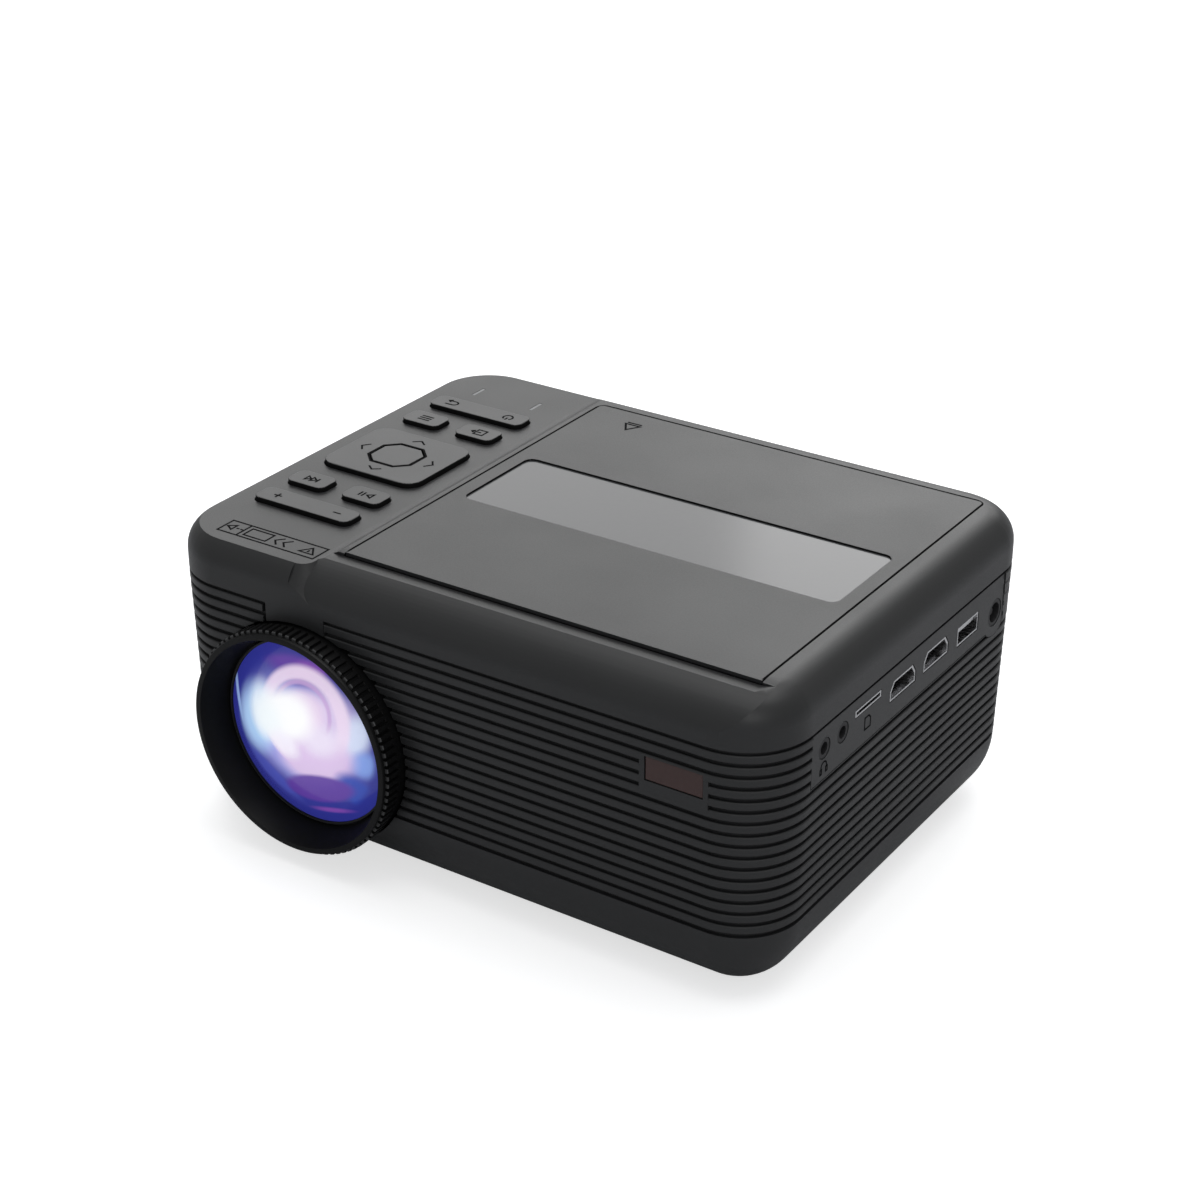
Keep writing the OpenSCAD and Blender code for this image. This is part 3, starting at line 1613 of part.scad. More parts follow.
module optics_tray() {
  color(dark_colour)
    optics_half(tray_z0, axis_z, tray_z0 + optic_wall, axis_z + 1);
}

module optics_cover() {
  color(dark_colour)
    optics_half(axis_z, tray_z1, axis_z - 1, tray_z1 - optic_wall);
}

module optic_plate(y, t) {
  box([axis_x - plate_w / 2, y, axis_z - plate_h / 2], [axis_x + plate_w / 2, y + t, axis_z + plate_h / 2]);
}

module fresnel_front() {
  color([0.8, 0.85, 0.9, 0.5])
    optic_plate(fresnel_front_y, fresnel_t);
}

module lcd_panel() {
  color("#1d2230")
    optic_plate(lcd_y, lcd_t);
}

module fresnel_rear() {
  color([0.8, 0.85, 0.9, 0.5])
    optic_plate(fresnel_rear_y, fresnel_t);
}

module condenser_lens() {
  color([0.85, 0.9, 0.95, 0.5])
    domed_lens(condenser_r, 8, bulkhead_y + 0.2, 2.6);
}

module led_lamp() {
  color("#e8e2c8") {
    box([axis_x - lamp_w / 2, tray_y1, axis_z - lamp_w / 2],
        [axis_x + lamp_w / 2, sink_y0, axis_z + lamp_w / 2]);
    box([axis_x - 8, tray_y1 - 1.2, axis_z - 8], [axis_x + 8, tray_y1 + eps, axis_z + 8]);
  }
}

module heat_sink() {
  fins = 13;
  pitch = (sink_w - 1.2) / (fins - 1);
  color(metal_colour) {
    box([axis_x - sink_w / 2, sink_y0, axis_z - sink_w / 2],
        [axis_x + sink_w / 2, sink_y0 + sink_base_t, axis_z + sink_w / 2]);
    for (k = [0:fins - 1])
      box([axis_x - sink_w / 2 + k * pitch, sink_y0 + sink_base_t - eps, axis_z - sink_w / 2],
          [axis_x - sink_w / 2 + k * pitch + 1.2, sink_y1, axis_z + sink_w / 2]);
  }
}

module fan_frame() {
  color(dark_colour)
    translate([axis_x, 0, axis_z])
      difference() {
        translate([0, fan_y0 + fan_t, 0])
          rotate([90, 0, 0])
            linear_extrude(fan_t)
              rounded_rect(fan_w, fan_w, 4);
        cylinder_y(fan_bore, fan_y0 - 1, fan_y0 + fan_t - 1.5);
        // back face kept as three arms and a ring
        for (a = [0, 120, 240])
          intersection() {
            difference() {
              cylinder_y(fan_bore, fan_y0, fan_y0 + fan_t + 1);
              cylinder_y(fan_hub_r + 1, fan_y0 - 1, fan_y0 + fan_t + 2);
            }
            rotate([0, a, 0])
              along_y_wedge(50);
          }
        for (sx = [-1, 1], sz = [-1, 1])
          translate([sx * fan_hole_at, 0, sz * fan_hole_at])
            cylinder_y(2.1, fan_y0 - 1, fan_y0 + fan_t + 1);
      }
}

// Wedge round the Y axis, spread to both sides of +X
module along_y_wedge(spread) {
  r = 60;
  translate([0, fan_y0 + 20, 0])
    rotate([90, 0, 0])
      linear_extrude(40)
        polygon([[0, 0], [r * cos(spread), r * sin(spread)], [r * 1.5, 0],
                 [r * cos(spread), -r * sin(spread)]]);
}

module fan_rotor() {
  y0 = fan_y0 + 1;
  y1 = fan_y0 + fan_t - 1.8;
  color(dark_colour)
    translate([axis_x, 0, axis_z]) {
      cylinder_y(fan_hub_r, y0, y1);
      intersection() {
        cylinder_y(fan_bore - 0.8, y0, y1);
        for (a = [0:360 / 7:359])
          rotate([0, a, 0])
            translate([fan_hub_r - 1, (y0 + y1) / 2, 0])
              rotate([35, 0, 0])
                translate([0, -0.6, -4.5])
                  cube([fan_bore, 1.2, 9]);
      }
    }
}

// ---------------------------------------------------------------- assembly

top_cover();
side_shell();
bottom_cover();
rubber_feet();
case_screws();
tripod_nut();
port_panel();
ir_window();
ir_receiver();
disc_lid();
lid_window();
lid_hinge_pins();
lid_latch();
disc_deck();
drive_chassis();
chassis_grommets();
spindle_motor();
disc_hub();
pickup_sled();
pickup_lens();
guide_rods();
lead_screw();
sled_motor();
power_rocker();
menu_button();
source_button();
direction_pad();
pad_pivot();
ok_button();
previous_button();
play_button();
volume_rocker();
indicator_lights();
key_board();
key_switches();
focus_ring();
front_lens();
lens_barrel();
rear_lens();
lens_mount();
optics_tray();
optics_cover();
fresnel_front();
lcd_panel();
fresnel_rear();
condenser_lens();
led_lamp();
heat_sink();
fan_frame();
fan_rotor();
main_board();
board_parts();
headphone_socket();
av_socket();
card_slot();
video_socket_1();
video_socket_2();
usb_socket();
power_socket();
speaker();
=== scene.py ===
# %% [markdown]
# # A small projector with a disc player under its lid
# The solids of the projector come from a CAD model and are the fixed frame here. This lesson dresses them:
# each moulded skin gets its finish, the turned and toothed pieces are built again with finer shapes, and
# light and camera are set up like a plain product photograph. Sizes are written in millimetres times mm.

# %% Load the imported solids
import bpy
import bmesh
import json
import math
from mathutils import Matrix, Vector


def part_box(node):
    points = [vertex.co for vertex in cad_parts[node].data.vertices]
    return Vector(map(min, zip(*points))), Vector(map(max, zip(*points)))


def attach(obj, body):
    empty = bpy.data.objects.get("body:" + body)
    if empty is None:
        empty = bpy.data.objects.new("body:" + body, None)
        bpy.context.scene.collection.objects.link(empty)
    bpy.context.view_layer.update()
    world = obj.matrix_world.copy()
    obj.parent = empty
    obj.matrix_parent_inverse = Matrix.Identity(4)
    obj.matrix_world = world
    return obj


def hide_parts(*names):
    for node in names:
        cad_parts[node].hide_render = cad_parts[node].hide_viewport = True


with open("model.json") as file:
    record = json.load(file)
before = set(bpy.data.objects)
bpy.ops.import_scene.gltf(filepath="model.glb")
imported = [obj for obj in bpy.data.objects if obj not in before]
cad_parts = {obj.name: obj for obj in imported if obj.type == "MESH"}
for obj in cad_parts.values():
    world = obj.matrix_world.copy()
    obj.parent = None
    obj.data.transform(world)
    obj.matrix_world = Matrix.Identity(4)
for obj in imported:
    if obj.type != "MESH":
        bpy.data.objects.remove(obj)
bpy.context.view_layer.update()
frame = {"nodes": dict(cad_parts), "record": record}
solids = frame["nodes"]
scene = bpy.context.scene
mm = 0.001

# %% [markdown]
# ## The camera
# The picture was taken from the front right, 27 degrees above the table, with a short telephoto lens. The
# three direction vectors of the camera are written out here, because a matrix made of right, up and back
# is easier to check than three Euler angles.

# %% Camera at the photograph's place
turn, rise, tilt = math.radians(33.43), math.radians(26.97), math.radians(0.1)
camera_place = (0.3583, -0.5398, 0.3967)
focal_length, film_width = 74.5, 36
nearest, farthest = 0.01, 50
back = Vector((math.sin(turn) * math.cos(rise), -math.cos(turn) * math.cos(rise), math.sin(rise)))
right = Vector((math.cos(turn), math.sin(turn), 0))
up = back.cross(right)
level_right = math.cos(tilt) * right + math.sin(tilt) * up
level_up = math.cos(tilt) * up - math.sin(tilt) * right
camera_data = bpy.data.cameras.new("studio_camera")
camera_data.lens, camera_data.sensor_width, camera_data.sensor_fit = focal_length, film_width, "HORIZONTAL"
camera_data.clip_start, camera_data.clip_end = nearest, farthest
camera = bpy.data.objects.new("studio_camera", camera_data)
camera.matrix_world = Matrix((level_right, level_up, back)).transposed().to_4x4()
camera.matrix_world.translation = camera_place
scene.collection.objects.link(camera)
scene.camera = camera
print("camera looks", [round(v, 3) for v in -back])

# %% [markdown]
# ## Node trees, written as text
# The world, the floor and every finish are small node trees. They could be clicked together in the shader
# editor. Here a few helpers make the nodes, so that a tree reads from top to bottom like a recipe: an input
# is filled either with a plain value or with the socket of an earlier node.


# %% Helpers for node trees
def fill(node, values):
    """Fills a node's inputs with plain values, or links them to sockets of other nodes."""
    for key, value in values.items():
        if isinstance(value, bpy.types.NodeSocket):
            node.id_data.links.new(value, node.inputs[key])
        else:
            node.inputs[key].default_value = value
    return node


def add_node(tree, kind, values=None, **settings):
    """A new node with its settings, and with its inputs filled."""
    node = tree.nodes.new(kind)
    for key, value in settings.items():
        setattr(node, key, value)
    return fill(node, values or {})


def add_math(tree, operation, *values):
    """The result of one sum with these values, in their order."""
    return add_node(tree, "ShaderNodeMath", dict(enumerate(values)), operation=operation).outputs[0]


def add_mix(tree, factor, first, second):
    """A colour between the first one at factor 0 and the second one at factor 1."""
    return add_node(tree, "ShaderNodeMix", {"Factor": factor, "A": first, "B": second},
                    data_type="RGBA").outputs["Result"]


def new_finish(name):
    """A material, its node tree and its main shader."""
    finish = bpy.data.materials.new(name)
    finish.use_nodes = True
    return finish, finish.node_tree, finish.node_tree.nodes["Principled BSDF"]


# %% [markdown]
# ## Light and floor
# A pale world gives soft light from all sides. It has three strengths, and a Light Path node picks one:
# full white where the camera sees the world, straight or through clear glass, less where a glossy face
# mirrors it, and a slightly bluish light on everything else. So the white background costs no extra light
# on the object.

# %% World
scene.view_settings.view_transform = "Standard"
world = bpy.data.worlds.new("studio_air")
scene.world = world
world.use_nodes = True
air = world.node_tree
path = add_node(air, "ShaderNodeLightPath")
soft_air = fill(air.nodes["Background"], {"Color": (0.93, 0.96, 1.0, 1), "Strength": 0.38})
mirror_air = add_node(air, "ShaderNodeBackground", {"Color": (1, 1, 1, 1), "Strength": 0.36})
white_air = add_node(air, "ShaderNodeBackground", {"Color": (1, 1, 1, 1), "Strength": 1.0})
mirrored_or_soft = add_node(air, "ShaderNodeMixShader",
                            {"Fac": path.outputs["Is Glossy Ray"], 1: soft_air.outputs["Background"],
                             2: mirror_air.outputs["Background"]})
seen = add_math(air, "MAXIMUM", path.outputs["Is Camera Ray"], path.outputs["Is Transmission Ray"])
whole_air = add_node(air, "ShaderNodeMixShader", {"Fac": seen, 1: mirrored_or_soft.outputs["Shader"],
                                                  2: white_air.outputs["Background"]})
fill(air.nodes["World Output"], {"Surface": whole_air.outputs["Shader"]})
print("world of", len(air.nodes), "nodes")

# %% [markdown]
# One wide softbox behind and above the projector makes the sheen that runs over the matt top towards the
# back, as in a product photograph. A narrow strip beside it brightens the right half of the glossy window,
# one overhead lights the level faces, and a smaller one in front lifts the sockets. They are area lamps,
# because the size of a lamp sets how softly its highlight ends.


# %% Softboxes
def softbox(name, place, aim, width, height, power):
    """A rectangular lamp at place that faces aim, in metres and watts."""
    lamp = bpy.data.lights.new(name, "AREA")
    lamp.shape, lamp.size, lamp.size_y, lamp.energy = "RECTANGLE", width, height, power
    holder = bpy.data.objects.new(name, lamp)
    holder.location = place
    holder.rotation_mode = "QUATERNION"
    holder.rotation_quaternion = (Vector(aim) - Vector(place)).to_track_quat("-Z", "Y")
    scene.collection.objects.link(holder)


softbox("back_softbox", (-0.62, 0.95, 0.62), (0, 0, 0.06), 1.5, 0.7, 5.6)
softbox("strip_softbox", (-0.33, 0.92, 0.57), (0.06, 0, 0.09), 0.26, 0.5, 0.5)
softbox("top_softbox", (0.1, 0.1, 1.3), (0, 0, 0.05), 1.1, 1.1, 8)
softbox("front_softbox", (0.75, -0.9, 0.55), (0, 0, 0.05), 0.5, 0.5, 1.6)

# %% [markdown]
# The floor is one large square. The camera sees it nearly white, with a glow of its own, while the light
# that bounces about meets a darker grey. So the ground looks like white paper, and the lower edges of the
# casing still stay dark.


# %% Pale floor
def new_piece(name, mesh):
    """Puts a mesh into the scene as an object at the origin."""
    piece = bpy.data.objects.new(name, mesh)
    scene.collection.objects.link(piece)
    return piece


floor_half = 9
floor_corners = [(x * floor_half, y * floor_half, 0) for x, y in ((-1, -1), (1, -1), (1, 1), (-1, 1))]
floor_mesh = bpy.data.meshes.new("studio_floor")
floor_mesh.from_pydata(floor_corners, [], [(0, 1, 2, 3)])
floor = new_piece("studio_floor", floor_mesh)
floor_finish, floor_tree, floor_shader = new_finish("floor_finish")
to_camera = add_node(floor_tree, "ShaderNodeLightPath").outputs["Is Camera Ray"]
floor_tone = add_mix(floor_tree, to_camera, (0.55, 0.55, 0.56, 1), (0.7, 0.7, 0.7, 1))
floor_glow = add_mix(floor_tree, to_camera, (0, 0, 0, 1), (0.64, 0.64, 0.64, 1))
fill(floor_shader, {"Base Color": floor_tone, "Roughness": 0.9, "Specular IOR Level": 0.0,
                    "Emission Color": floor_glow, "Emission Strength": 1.0})
floor_mesh.materials.append(floor_finish)
print("floor", tuple(floor.dimensions))

# %% [markdown]
# ## Finishes
# A moulded casing isn't one flat colour. The steel mould is spark-eroded, which leaves a fine grain, and the
# plastic is a little cloudy. One shader group makes both from noise in object coordinates, and every plastic
# finish uses it with other numbers. The group gives colour, roughness and height, and whatever is the same
# all over, such as the specular level, is set on the shader itself.


# %% Helpers for textures and groups
def on_object(tree):
    """Object coordinates, in which a pattern stays fixed to its piece."""
    return add_node(tree, "ShaderNodeTexCoord").outputs["Object"]


def add_noise(tree, spot, scale, detail):
    """The value of a noise texture."""
    noise = add_node(tree, "ShaderNodeTexNoise", {"Vector": spot, "Scale": scale, "Detail": detail})
    return noise.outputs["Fac"]


def add_range(tree, value, low, high, to_low, to_high, **settings):
    """A value carried over from the range low to high into another one."""
    return add_node(tree, "ShaderNodeMapRange", {"Value": value, "From Min": low, "From Max": high,
                                                 "To Min": to_low, "To Max": to_high},
                    **settings).outputs["Result"]


def add_bump(tree, height, depth, strength=1.0):
    """The normal of a surface with this relief; depth in metres."""
    return add_node(tree, "ShaderNodeBump", {"Height": height, "Distance": depth,
                                             "Strength": strength}).outputs["Normal"]


def new_group(name, inputs, outputs, kind="ShaderNodeTree"):
    """A node group with named inputs (name, socket type, default) and outputs (name, socket type)."""
    group = bpy.data.node_groups.new(name, kind)
    for label, socket_type, value in inputs:
        socket = group.interface.new_socket(label, in_out="INPUT", socket_type=socket_type)
        if value is not None:
            socket.default_value = value
    for label, socket_type in outputs:
        group.interface.new_socket(label, in_out="OUTPUT", socket_type=socket_type)
    return group, group.nodes.new("NodeGroupInput"), group.nodes.new("NodeGroupOutput")


# %% Shader group: moulded skin
skin_group, skin_in, skin_out = new_group(
    "moulded_skin",
    [("Tone", "NodeSocketColor", (0.02, 0.02, 0.02, 1)), ("Cloud", "NodeSocketFloat", 0.2),
     ("Grain", "NodeSocketFloat", 2600.0), ("Smoothest", "NodeSocketFloat", 0.4),
     ("Roughest", "NodeSocketFloat", 0.55)],
    [("Color", "NodeSocketColor"), ("Roughness", "NodeSocketFloat"), ("Height", "NodeSocketFloat")])
cloud_scale, cloud_share, grain_share = 26.0, 0.35, 0.65
mottle_low, mottle_high = 0.3, 0.7
skin_spot = on_object(skin_group)
clouds = add_noise(skin_group, skin_spot, cloud_scale, 3.0)
grains = add_noise(skin_group, skin_spot, skin_in.outputs["Grain"], 2.0)
mottle = add_math(skin_group, "ADD", add_math(skin_group, "MULTIPLY", clouds, cloud_share),
                  add_math(skin_group, "MULTIPLY", grains, grain_share))
swing = add_math(skin_group, "SUBTRACT", mottle, 0.5)
shade = add_math(skin_group, "MULTIPLY_ADD", swing, skin_in.outputs["Cloud"], 1.0)
toned = add_node(skin_group, "ShaderNodeVectorMath", {0: skin_in.outputs["Tone"], "Scale": shade},
                 operation="SCALE")
skin_rough = add_range(skin_group, mottle, mottle_low, mottle_high, skin_in.outputs["Smoothest"],
                       skin_in.outputs["Roughest"])
fill(skin_out, {"Color": toned.outputs["Vector"], "Roughness": skin_rough, "Height": grains})
print("group", skin_group.name)


# %% Plastic finishes
def plastic(name, tone, smoothest, roughest, grain=2600.0, cloud=0.25, depth=0.03, specular=0.5):
    """Moulded plastic; depth is the grain's height in millimetres."""
    finish, tree, shader = new_finish(name)
    skin = add_node(tree, "ShaderNodeGroup", {"Tone": (*tone, 1), "Cloud": cloud, "Grain": grain,
                                              "Smoothest": smoothest, "Roughest": roughest},
                    node_tree=skin_group)
    fill(shader, {"Base Color": skin.outputs["Color"], "Roughness": skin.outputs["Roughness"],
                  "Normal": add_bump(tree, skin.outputs["Height"], depth * mm, grain_strength),
                  "Specular IOR Level": specular})
    return finish


grain_strength = 0.35
finishes = {
    "casing_plastic": plastic("casing_finish", (0.018, 0.0185, 0.019), 0.36, 0.5),
    "key_plastic": plastic("key_finish", (0.038, 0.0383, 0.0387), 0.36, 0.48, grain=3200.0, depth=0.015),
    "dark_plastic": plastic("inner_finish", (0.012, 0.012, 0.013), 0.5, 0.65, cloud=0.3),
    "ring_plastic": plastic("ring_finish", (0.005, 0.005, 0.0052), 0.4, 0.52, grain=1900.0, specular=0.22),
    "rubber": plastic("foot_rubber", (0.014, 0.014, 0.014), 0.75, 0.9, grain=1500.0, depth=0.05,
                      specular=0.3),
    "window_plastic": plastic("smoked_window", (0.05, 0.051, 0.053), 0.12, 0.18, grain=700.0, cloud=0.12,
                              depth=0.002),
    "light_plastic": plastic("milky_plastic", (0.13, 0.135, 0.14), 0.3, 0.4, grain=900.0, depth=0.01),
    "lamp_plastic": plastic("lamp_phosphor", (0.8, 0.72, 0.42), 0.5, 0.7, grain=1200.0, cloud=0.3),
}
# Painted shade: a near-black colour for the flanks of the keys and the walls of the gaps round the lid,
# where little light gets in.
painted_shade_flank = plastic("painted_shade_flank", (0.004, 0.004, 0.004), 0.6, 0.75, specular=0.15)
# Painted highlight: a lighter colour for the front ends of the ring's teeth, which catch the light.
painted_tooth_highlight = plastic("painted_tooth_highlight", (0.05, 0.05, 0.051), 0.4, 0.55, grain=1900.0, specular=0.4)
ink = plastic("legend_ink", (0.003, 0.003, 0.0033), 0.7, 0.85, grain=900.0, cloud=0.4, depth=0.004,
              specular=0.04)
print(len(finishes) + 3, "plastic finishes")

# %% [markdown]
# Metals differ from plastics in two ways here: the colour comes from the reflection, and rolling, turning or
# drawing leaves fine lines. The lines are a noise that is stretched along one axis of the piece.


# %% Metal finishes
def metal(name, tone, smoothest, roughest, along):
    """Metal with fine lines; along holds how much the noise is squeezed on each axis."""
    finish, tree, shader = new_finish(name)
    stretch = add_node(tree, "ShaderNodeMapping", {"Vector": on_object(tree), "Scale": along})
    lines = add_noise(tree, stretch.outputs["Vector"], line_scale, 3.0)
    darker, brighter = ((*(min(1, v * share) for v in tone), 1) for share in (0.8, 1.12))
    fill(shader, {"Base Color": add_mix(tree, lines, darker, brighter), "Metallic": 1.0,
                  "Roughness": add_range(tree, lines, mottle_low, mottle_high, smoothest, roughest),
                  "Normal": add_bump(tree, lines, line_depth, 0.3)})
    return finish


line_scale, line_depth = 900.0, 0.01 * mm
finishes["steel"] = metal("plated_steel", (0.62, 0.62, 0.63), 0.18, 0.34, (0.2, 1, 1))
finishes["aluminium"] = metal("extruded_aluminium", (0.72, 0.73, 0.74), 0.3, 0.45, (1, 1, 0.05))
finishes["brass"] = metal("turned_brass", (0.62, 0.46, 0.2), 0.2, 0.35, (1, 1, 8))
print("metals", [finishes[slot].name for slot in ("steel", "aluminium", "brass")])

# %% [markdown]
# The two circuit boards carry solder resist over copper. A brick pattern makes the tracks and a Voronoi
# pattern the round pads, both in object coordinates, so that the boards look made even where only a lid
# or a vent gives a view of them.

# %% Circuit board
board_finish, board_tree, board_shader = new_finish("solder_resist")
board_spot = on_object(board_tree)
tracks = add_node(board_tree, "ShaderNodeTexBrick",
                  {"Vector": board_spot, "Color1": (0.006, 0.09, 0.035, 1), "Color2": (0.01, 0.13, 0.05, 1),
                   "Mortar": (0.02, 0.2, 0.08, 1), "Scale": 160.0, "Mortar Size": 0.03})
solder_pads = add_node(board_tree, "ShaderNodeTexVoronoi", {"Vector": board_spot, "Scale": 240.0})
solder_reach, solder_colour = 0.17, (0.55, 0.56, 0.55, 1)
on_pad = add_math(board_tree, "LESS_THAN", solder_pads.outputs["Distance"], solder_reach)
fill(board_shader, {"Base Color": add_mix(board_tree, on_pad, tracks.outputs["Color"], solder_colour),
                    "Metallic": on_pad, "Roughness": 0.35,
                    "Normal": add_bump(board_tree, tracks.outputs["Fac"], 0.03 * mm)})
finishes["circuit_board"] = board_finish
print("board finish of", len(board_tree.nodes), "nodes")

# %% [markdown]
# Clear optical pieces pass light, with a trace of dust in their roughness. The flat condensing plates get
# their ring grooves as a bump, centred on the lens axis, and the picture panel its fine grid of picture
# points.


# %% Clear optics and the picture panel
def clear_optic(name, tint, passing, rings=False):
    """Glass or acrylic; passing is the share of light it lets through."""
    finish, tree, shader = new_finish(name)
    spot = on_object(tree)
    dust = add_noise(tree, spot, 300.0, 4.0)
    fill(shader, {"Base Color": add_mix(tree, dust, (*tint, 1), (*(v * 0.93 for v in tint), 1)),
                  "Roughness": add_range(tree, dust, 0.45, 0.8, 0.02, 0.12),
                  "Transmission Weight": passing, "IOR": acrylic_ior})
    if rings:
        centred = add_node(tree, "ShaderNodeMapping", {"Vector": spot, "Location": (-lens_x, 0, -lens_z)})
        waves = add_node(tree, "ShaderNodeTexWave", {"Vector": centred.outputs["Vector"], "Scale": 320.0},
                         wave_type="RINGS", rings_direction="Y", wave_profile="SAW")
        fill(shader, {"Normal": add_bump(tree, waves.outputs["Fac"], 0.1 * mm)})
    return finish


acrylic_ior = 1.49
lens_x, lens_z = -50.7 * mm, 40.5 * mm
finishes["clear_glass"] = clear_optic("clear_optic", (0.92, 0.96, 0.98), 0.9)
ringed_optic = clear_optic("ring_grooved_plate", (0.93, 0.95, 0.96), 0.85, rings=True)
panel_finish, panel_tree, panel_shader = new_finish("picture_panel")
picture_points = add_node(panel_tree, "ShaderNodeTexChecker",
                          {"Vector": on_object(panel_tree), "Scale": 3000.0,
                           "Color1": (0.012, 0.014, 0.022, 1), "Color2": (0.03, 0.034, 0.05, 1)})
fill(panel_shader, {"Base Color": picture_points.outputs["Color"], "Roughness": 0.12})
finishes["panel_glass"] = panel_finish
print("optics", [finishes["clear_glass"].name, ringed_optic.name, panel_finish.name])

# %% [markdown]
# The remote-control window is a dark red, clear plastic: it looks nearly black, with a warm brown body
# colour where light gets in.

# %% Red window
finishes["red_plastic"] = plastic("red_window", (0.05, 0.022, 0.019), 0.14, 0.22, grain=600.0, cloud=0.35,
                                  depth=0.002)
print(len(finishes), "finishes for the material slots so far")

# %% [markdown]
# ## The coated front lens
# Looking into a projection lens, one sees its lamp and its inner lenses as soft patches of light, tinted
# blue and violet by the coating. Real dispersion would need a long render, so the patches are painted on
# the dome in object coordinates: each is a soft-edged oval with its own centre, size, angle and colour. A
# node group works out one oval, and a chain of mixes lays them over one another. With Hollow above 0 the
# distance is taken from a ring of that radius, which makes an arc instead of a disc.

# %% Shader group: soft oval
oval_group, oval_in, oval_out = new_group(
    "soft_oval",
    [("Spot", "NodeSocketVector", None), ("Centre", "NodeSocketVector", (0, 0, 0)),
     ("Angle", "NodeSocketFloat", 0.0), ("Half size", "NodeSocketVector", (1, 1, 1)),
     ("Inner", "NodeSocketFloat", 0.5), ("Outer", "NodeSocketFloat", 1.0),
     ("Hollow", "NodeSocketFloat", 0.0)],
    [("Share", "NodeSocketFloat")])
moved = add_node(oval_group, "ShaderNodeVectorMath",
                 {0: oval_in.outputs["Spot"], 1: oval_in.outputs["Centre"]}, operation="SUBTRACT")
turned = add_node(oval_group, "ShaderNodeVectorRotate",
                  {"Vector": moved.outputs[0], "Angle": oval_in.outputs["Angle"]}, rotation_type="Z_AXIS")
scaled = add_node(oval_group, "ShaderNodeVectorMath",
                  {0: turned.outputs[0], 1: oval_in.outputs["Half size"]}, operation="DIVIDE")
reach = add_node(oval_group, "ShaderNodeVectorMath", {0: scaled.outputs[0]}, operation="LENGTH")
from_ring = add_math(oval_group, "SUBTRACT", reach.outputs["Value"], oval_in.outputs["Hollow"])
share = add_range(oval_group, add_math(oval_group, "ABSOLUTE", from_ring), oval_in.outputs["Inner"],
                  oval_in.outputs["Outer"], 1.0, 0.0, interpolation_type="SMOOTHSTEP")
fill(oval_out, {"Share": share})
print("group", oval_group.name)

# %% [markdown]
# The list below holds the patches from the deepest to the topmost. Their places and sizes are shares of the
# glass radius, seen along the lens axis. The dome also glows a little in the same colours, though only
# for the camera, because light that comes out of the lens shows brighter than its reflection.

# %% The lens finish
# Each row: centre, angle in degrees, half size, inner and outer edge, ring radius, strength, colour.
light_patches = [
    ((0.02, 0.06), 0, (0.95, 0.76), 0.45, 1.0, 0, 0.95, (0.36, 0.36, 0.80)),
    ((-0.12, 0.84), 6, (0.72, 0.28), 0.35, 1.0, 0, 1.0, (0.12, 0.045, 0.36)),
    ((0.14, 0.8), -22, (0.4, 0.14), 0.3, 1.0, 0, 0.9, (0.24, 0.07, 0.44)),
    ((-0.56, 0.05), 12, (0.38, 0.52), 0.35, 1.0, 0, 1.0, (0.46, 0.68, 1.0)),
    ((0.28, 0.2), -30, (0.6, 0.5), 0.45, 1.0, 0, 0.95, (0.72, 0.60, 0.84)),
    ((0.3, -0.12), -20, (0.5, 0.26), 0.4, 1.0, 0, 0.9, (0.70, 0.50, 0.78)),
    ((0.68, 0.2), 20, (0.22, 0.36), 0.3, 1.0, 0, 0.9, (0.70, 0.78, 0.97)),
    ((0.76, -0.1), 20, (0.2, 0.22), 0.3, 1.0, 0, 0.9, (0.24, 0.38, 0.84)),
    ((0.08, 0.25), 0, (0.48, 0.48), 0.07, 0.22, 1.0, 0.9, (0.88, 0.72, 0.90)),
    ((0.1, 0.33), 0, (0.34, 0.31), 0.5, 1.0, 0, 0.9, (0.84, 0.68, 0.86)),
    ((0.08, 0.32), 0, (0.33, 0.32), 0.02, 0.11, 1.0, 0.75, (0.58, 0.38, 0.68)),
    ((0.22, -0.16), -14, (0.56, 0.34), 0.5, 1.0, 0, 1.0, (0.74, 0.57, 0.83)),
    ((0.3, 0.08), -14, (0.34, 0.26), 0.2, 1.0, 0, 0.95, (0.86, 0.78, 0.93)),
    ((-0.46, 0.2), 0, (0.26, 0.4), 0.3, 1.0, 0, 0.95, (0.80, 0.90, 1.0)),
    ((-0.12, 0.24), -15, (0.46, 0.36), 0.45, 1.0, 0, 1.0, (1.0, 1.0, 1.0)),
    ((-0.38, 0.12), 0, (0.32, 0.34), 0.2, 1.0, 0, 0.9, (0.92, 0.98, 1.0)),
    ((-0.14, -0.08), 20, (0.26, 0.2), 0.3, 1.0, 0, 0.85, (0.96, 0.92, 1.0)),
    ((0.66, -0.46), 50, (0.34, 0.22), 0.45, 1.0, 0, 0.95, (0.035, 0.075, 0.44)),
    ((-0.42, -0.56), 32, (0.5, 0.14), 0.4, 1.0, 0, 0.8, (0.08, 0.10, 0.50)),
    ((0.2, -0.52), -14, (0.5, 0.2), 0.7, 1.0, 0, 0.97, (0.12, 0.05, 0.36)),
    ((0.0, 0.0), 0, (1.0, 1.0), 0.05, 0.14, 0.96, 0.95, (0.03, 0.035, 0.30)),
    ((0.3, -0.78), -12, (0.36, 0.05), 0.2, 1.0, 0, 0.85, (0.26, 0.08, 0.46)),
    ((-0.88, 0.18), -14, (0.045, 0.42), 0.25, 1.0, 0, 0.85, (0.38, 0.55, 0.94)),
]
dome_r = 28.6
glass_r = dome_r * mm
deepest_blue = (0.04, 0.045, 0.32, 1)
lens_finish, lens_tree, lens_shader = new_finish("coated_lens")
lens_map = add_node(lens_tree, "ShaderNodeMapping",
                    {"Vector": on_object(lens_tree), "Location": (-lens_x / glass_r, -lens_z / glass_r, 0),
                     "Rotation": (math.radians(-90), 0, 0), "Scale": (1 / glass_r,) * 3},
                    vector_type="POINT")
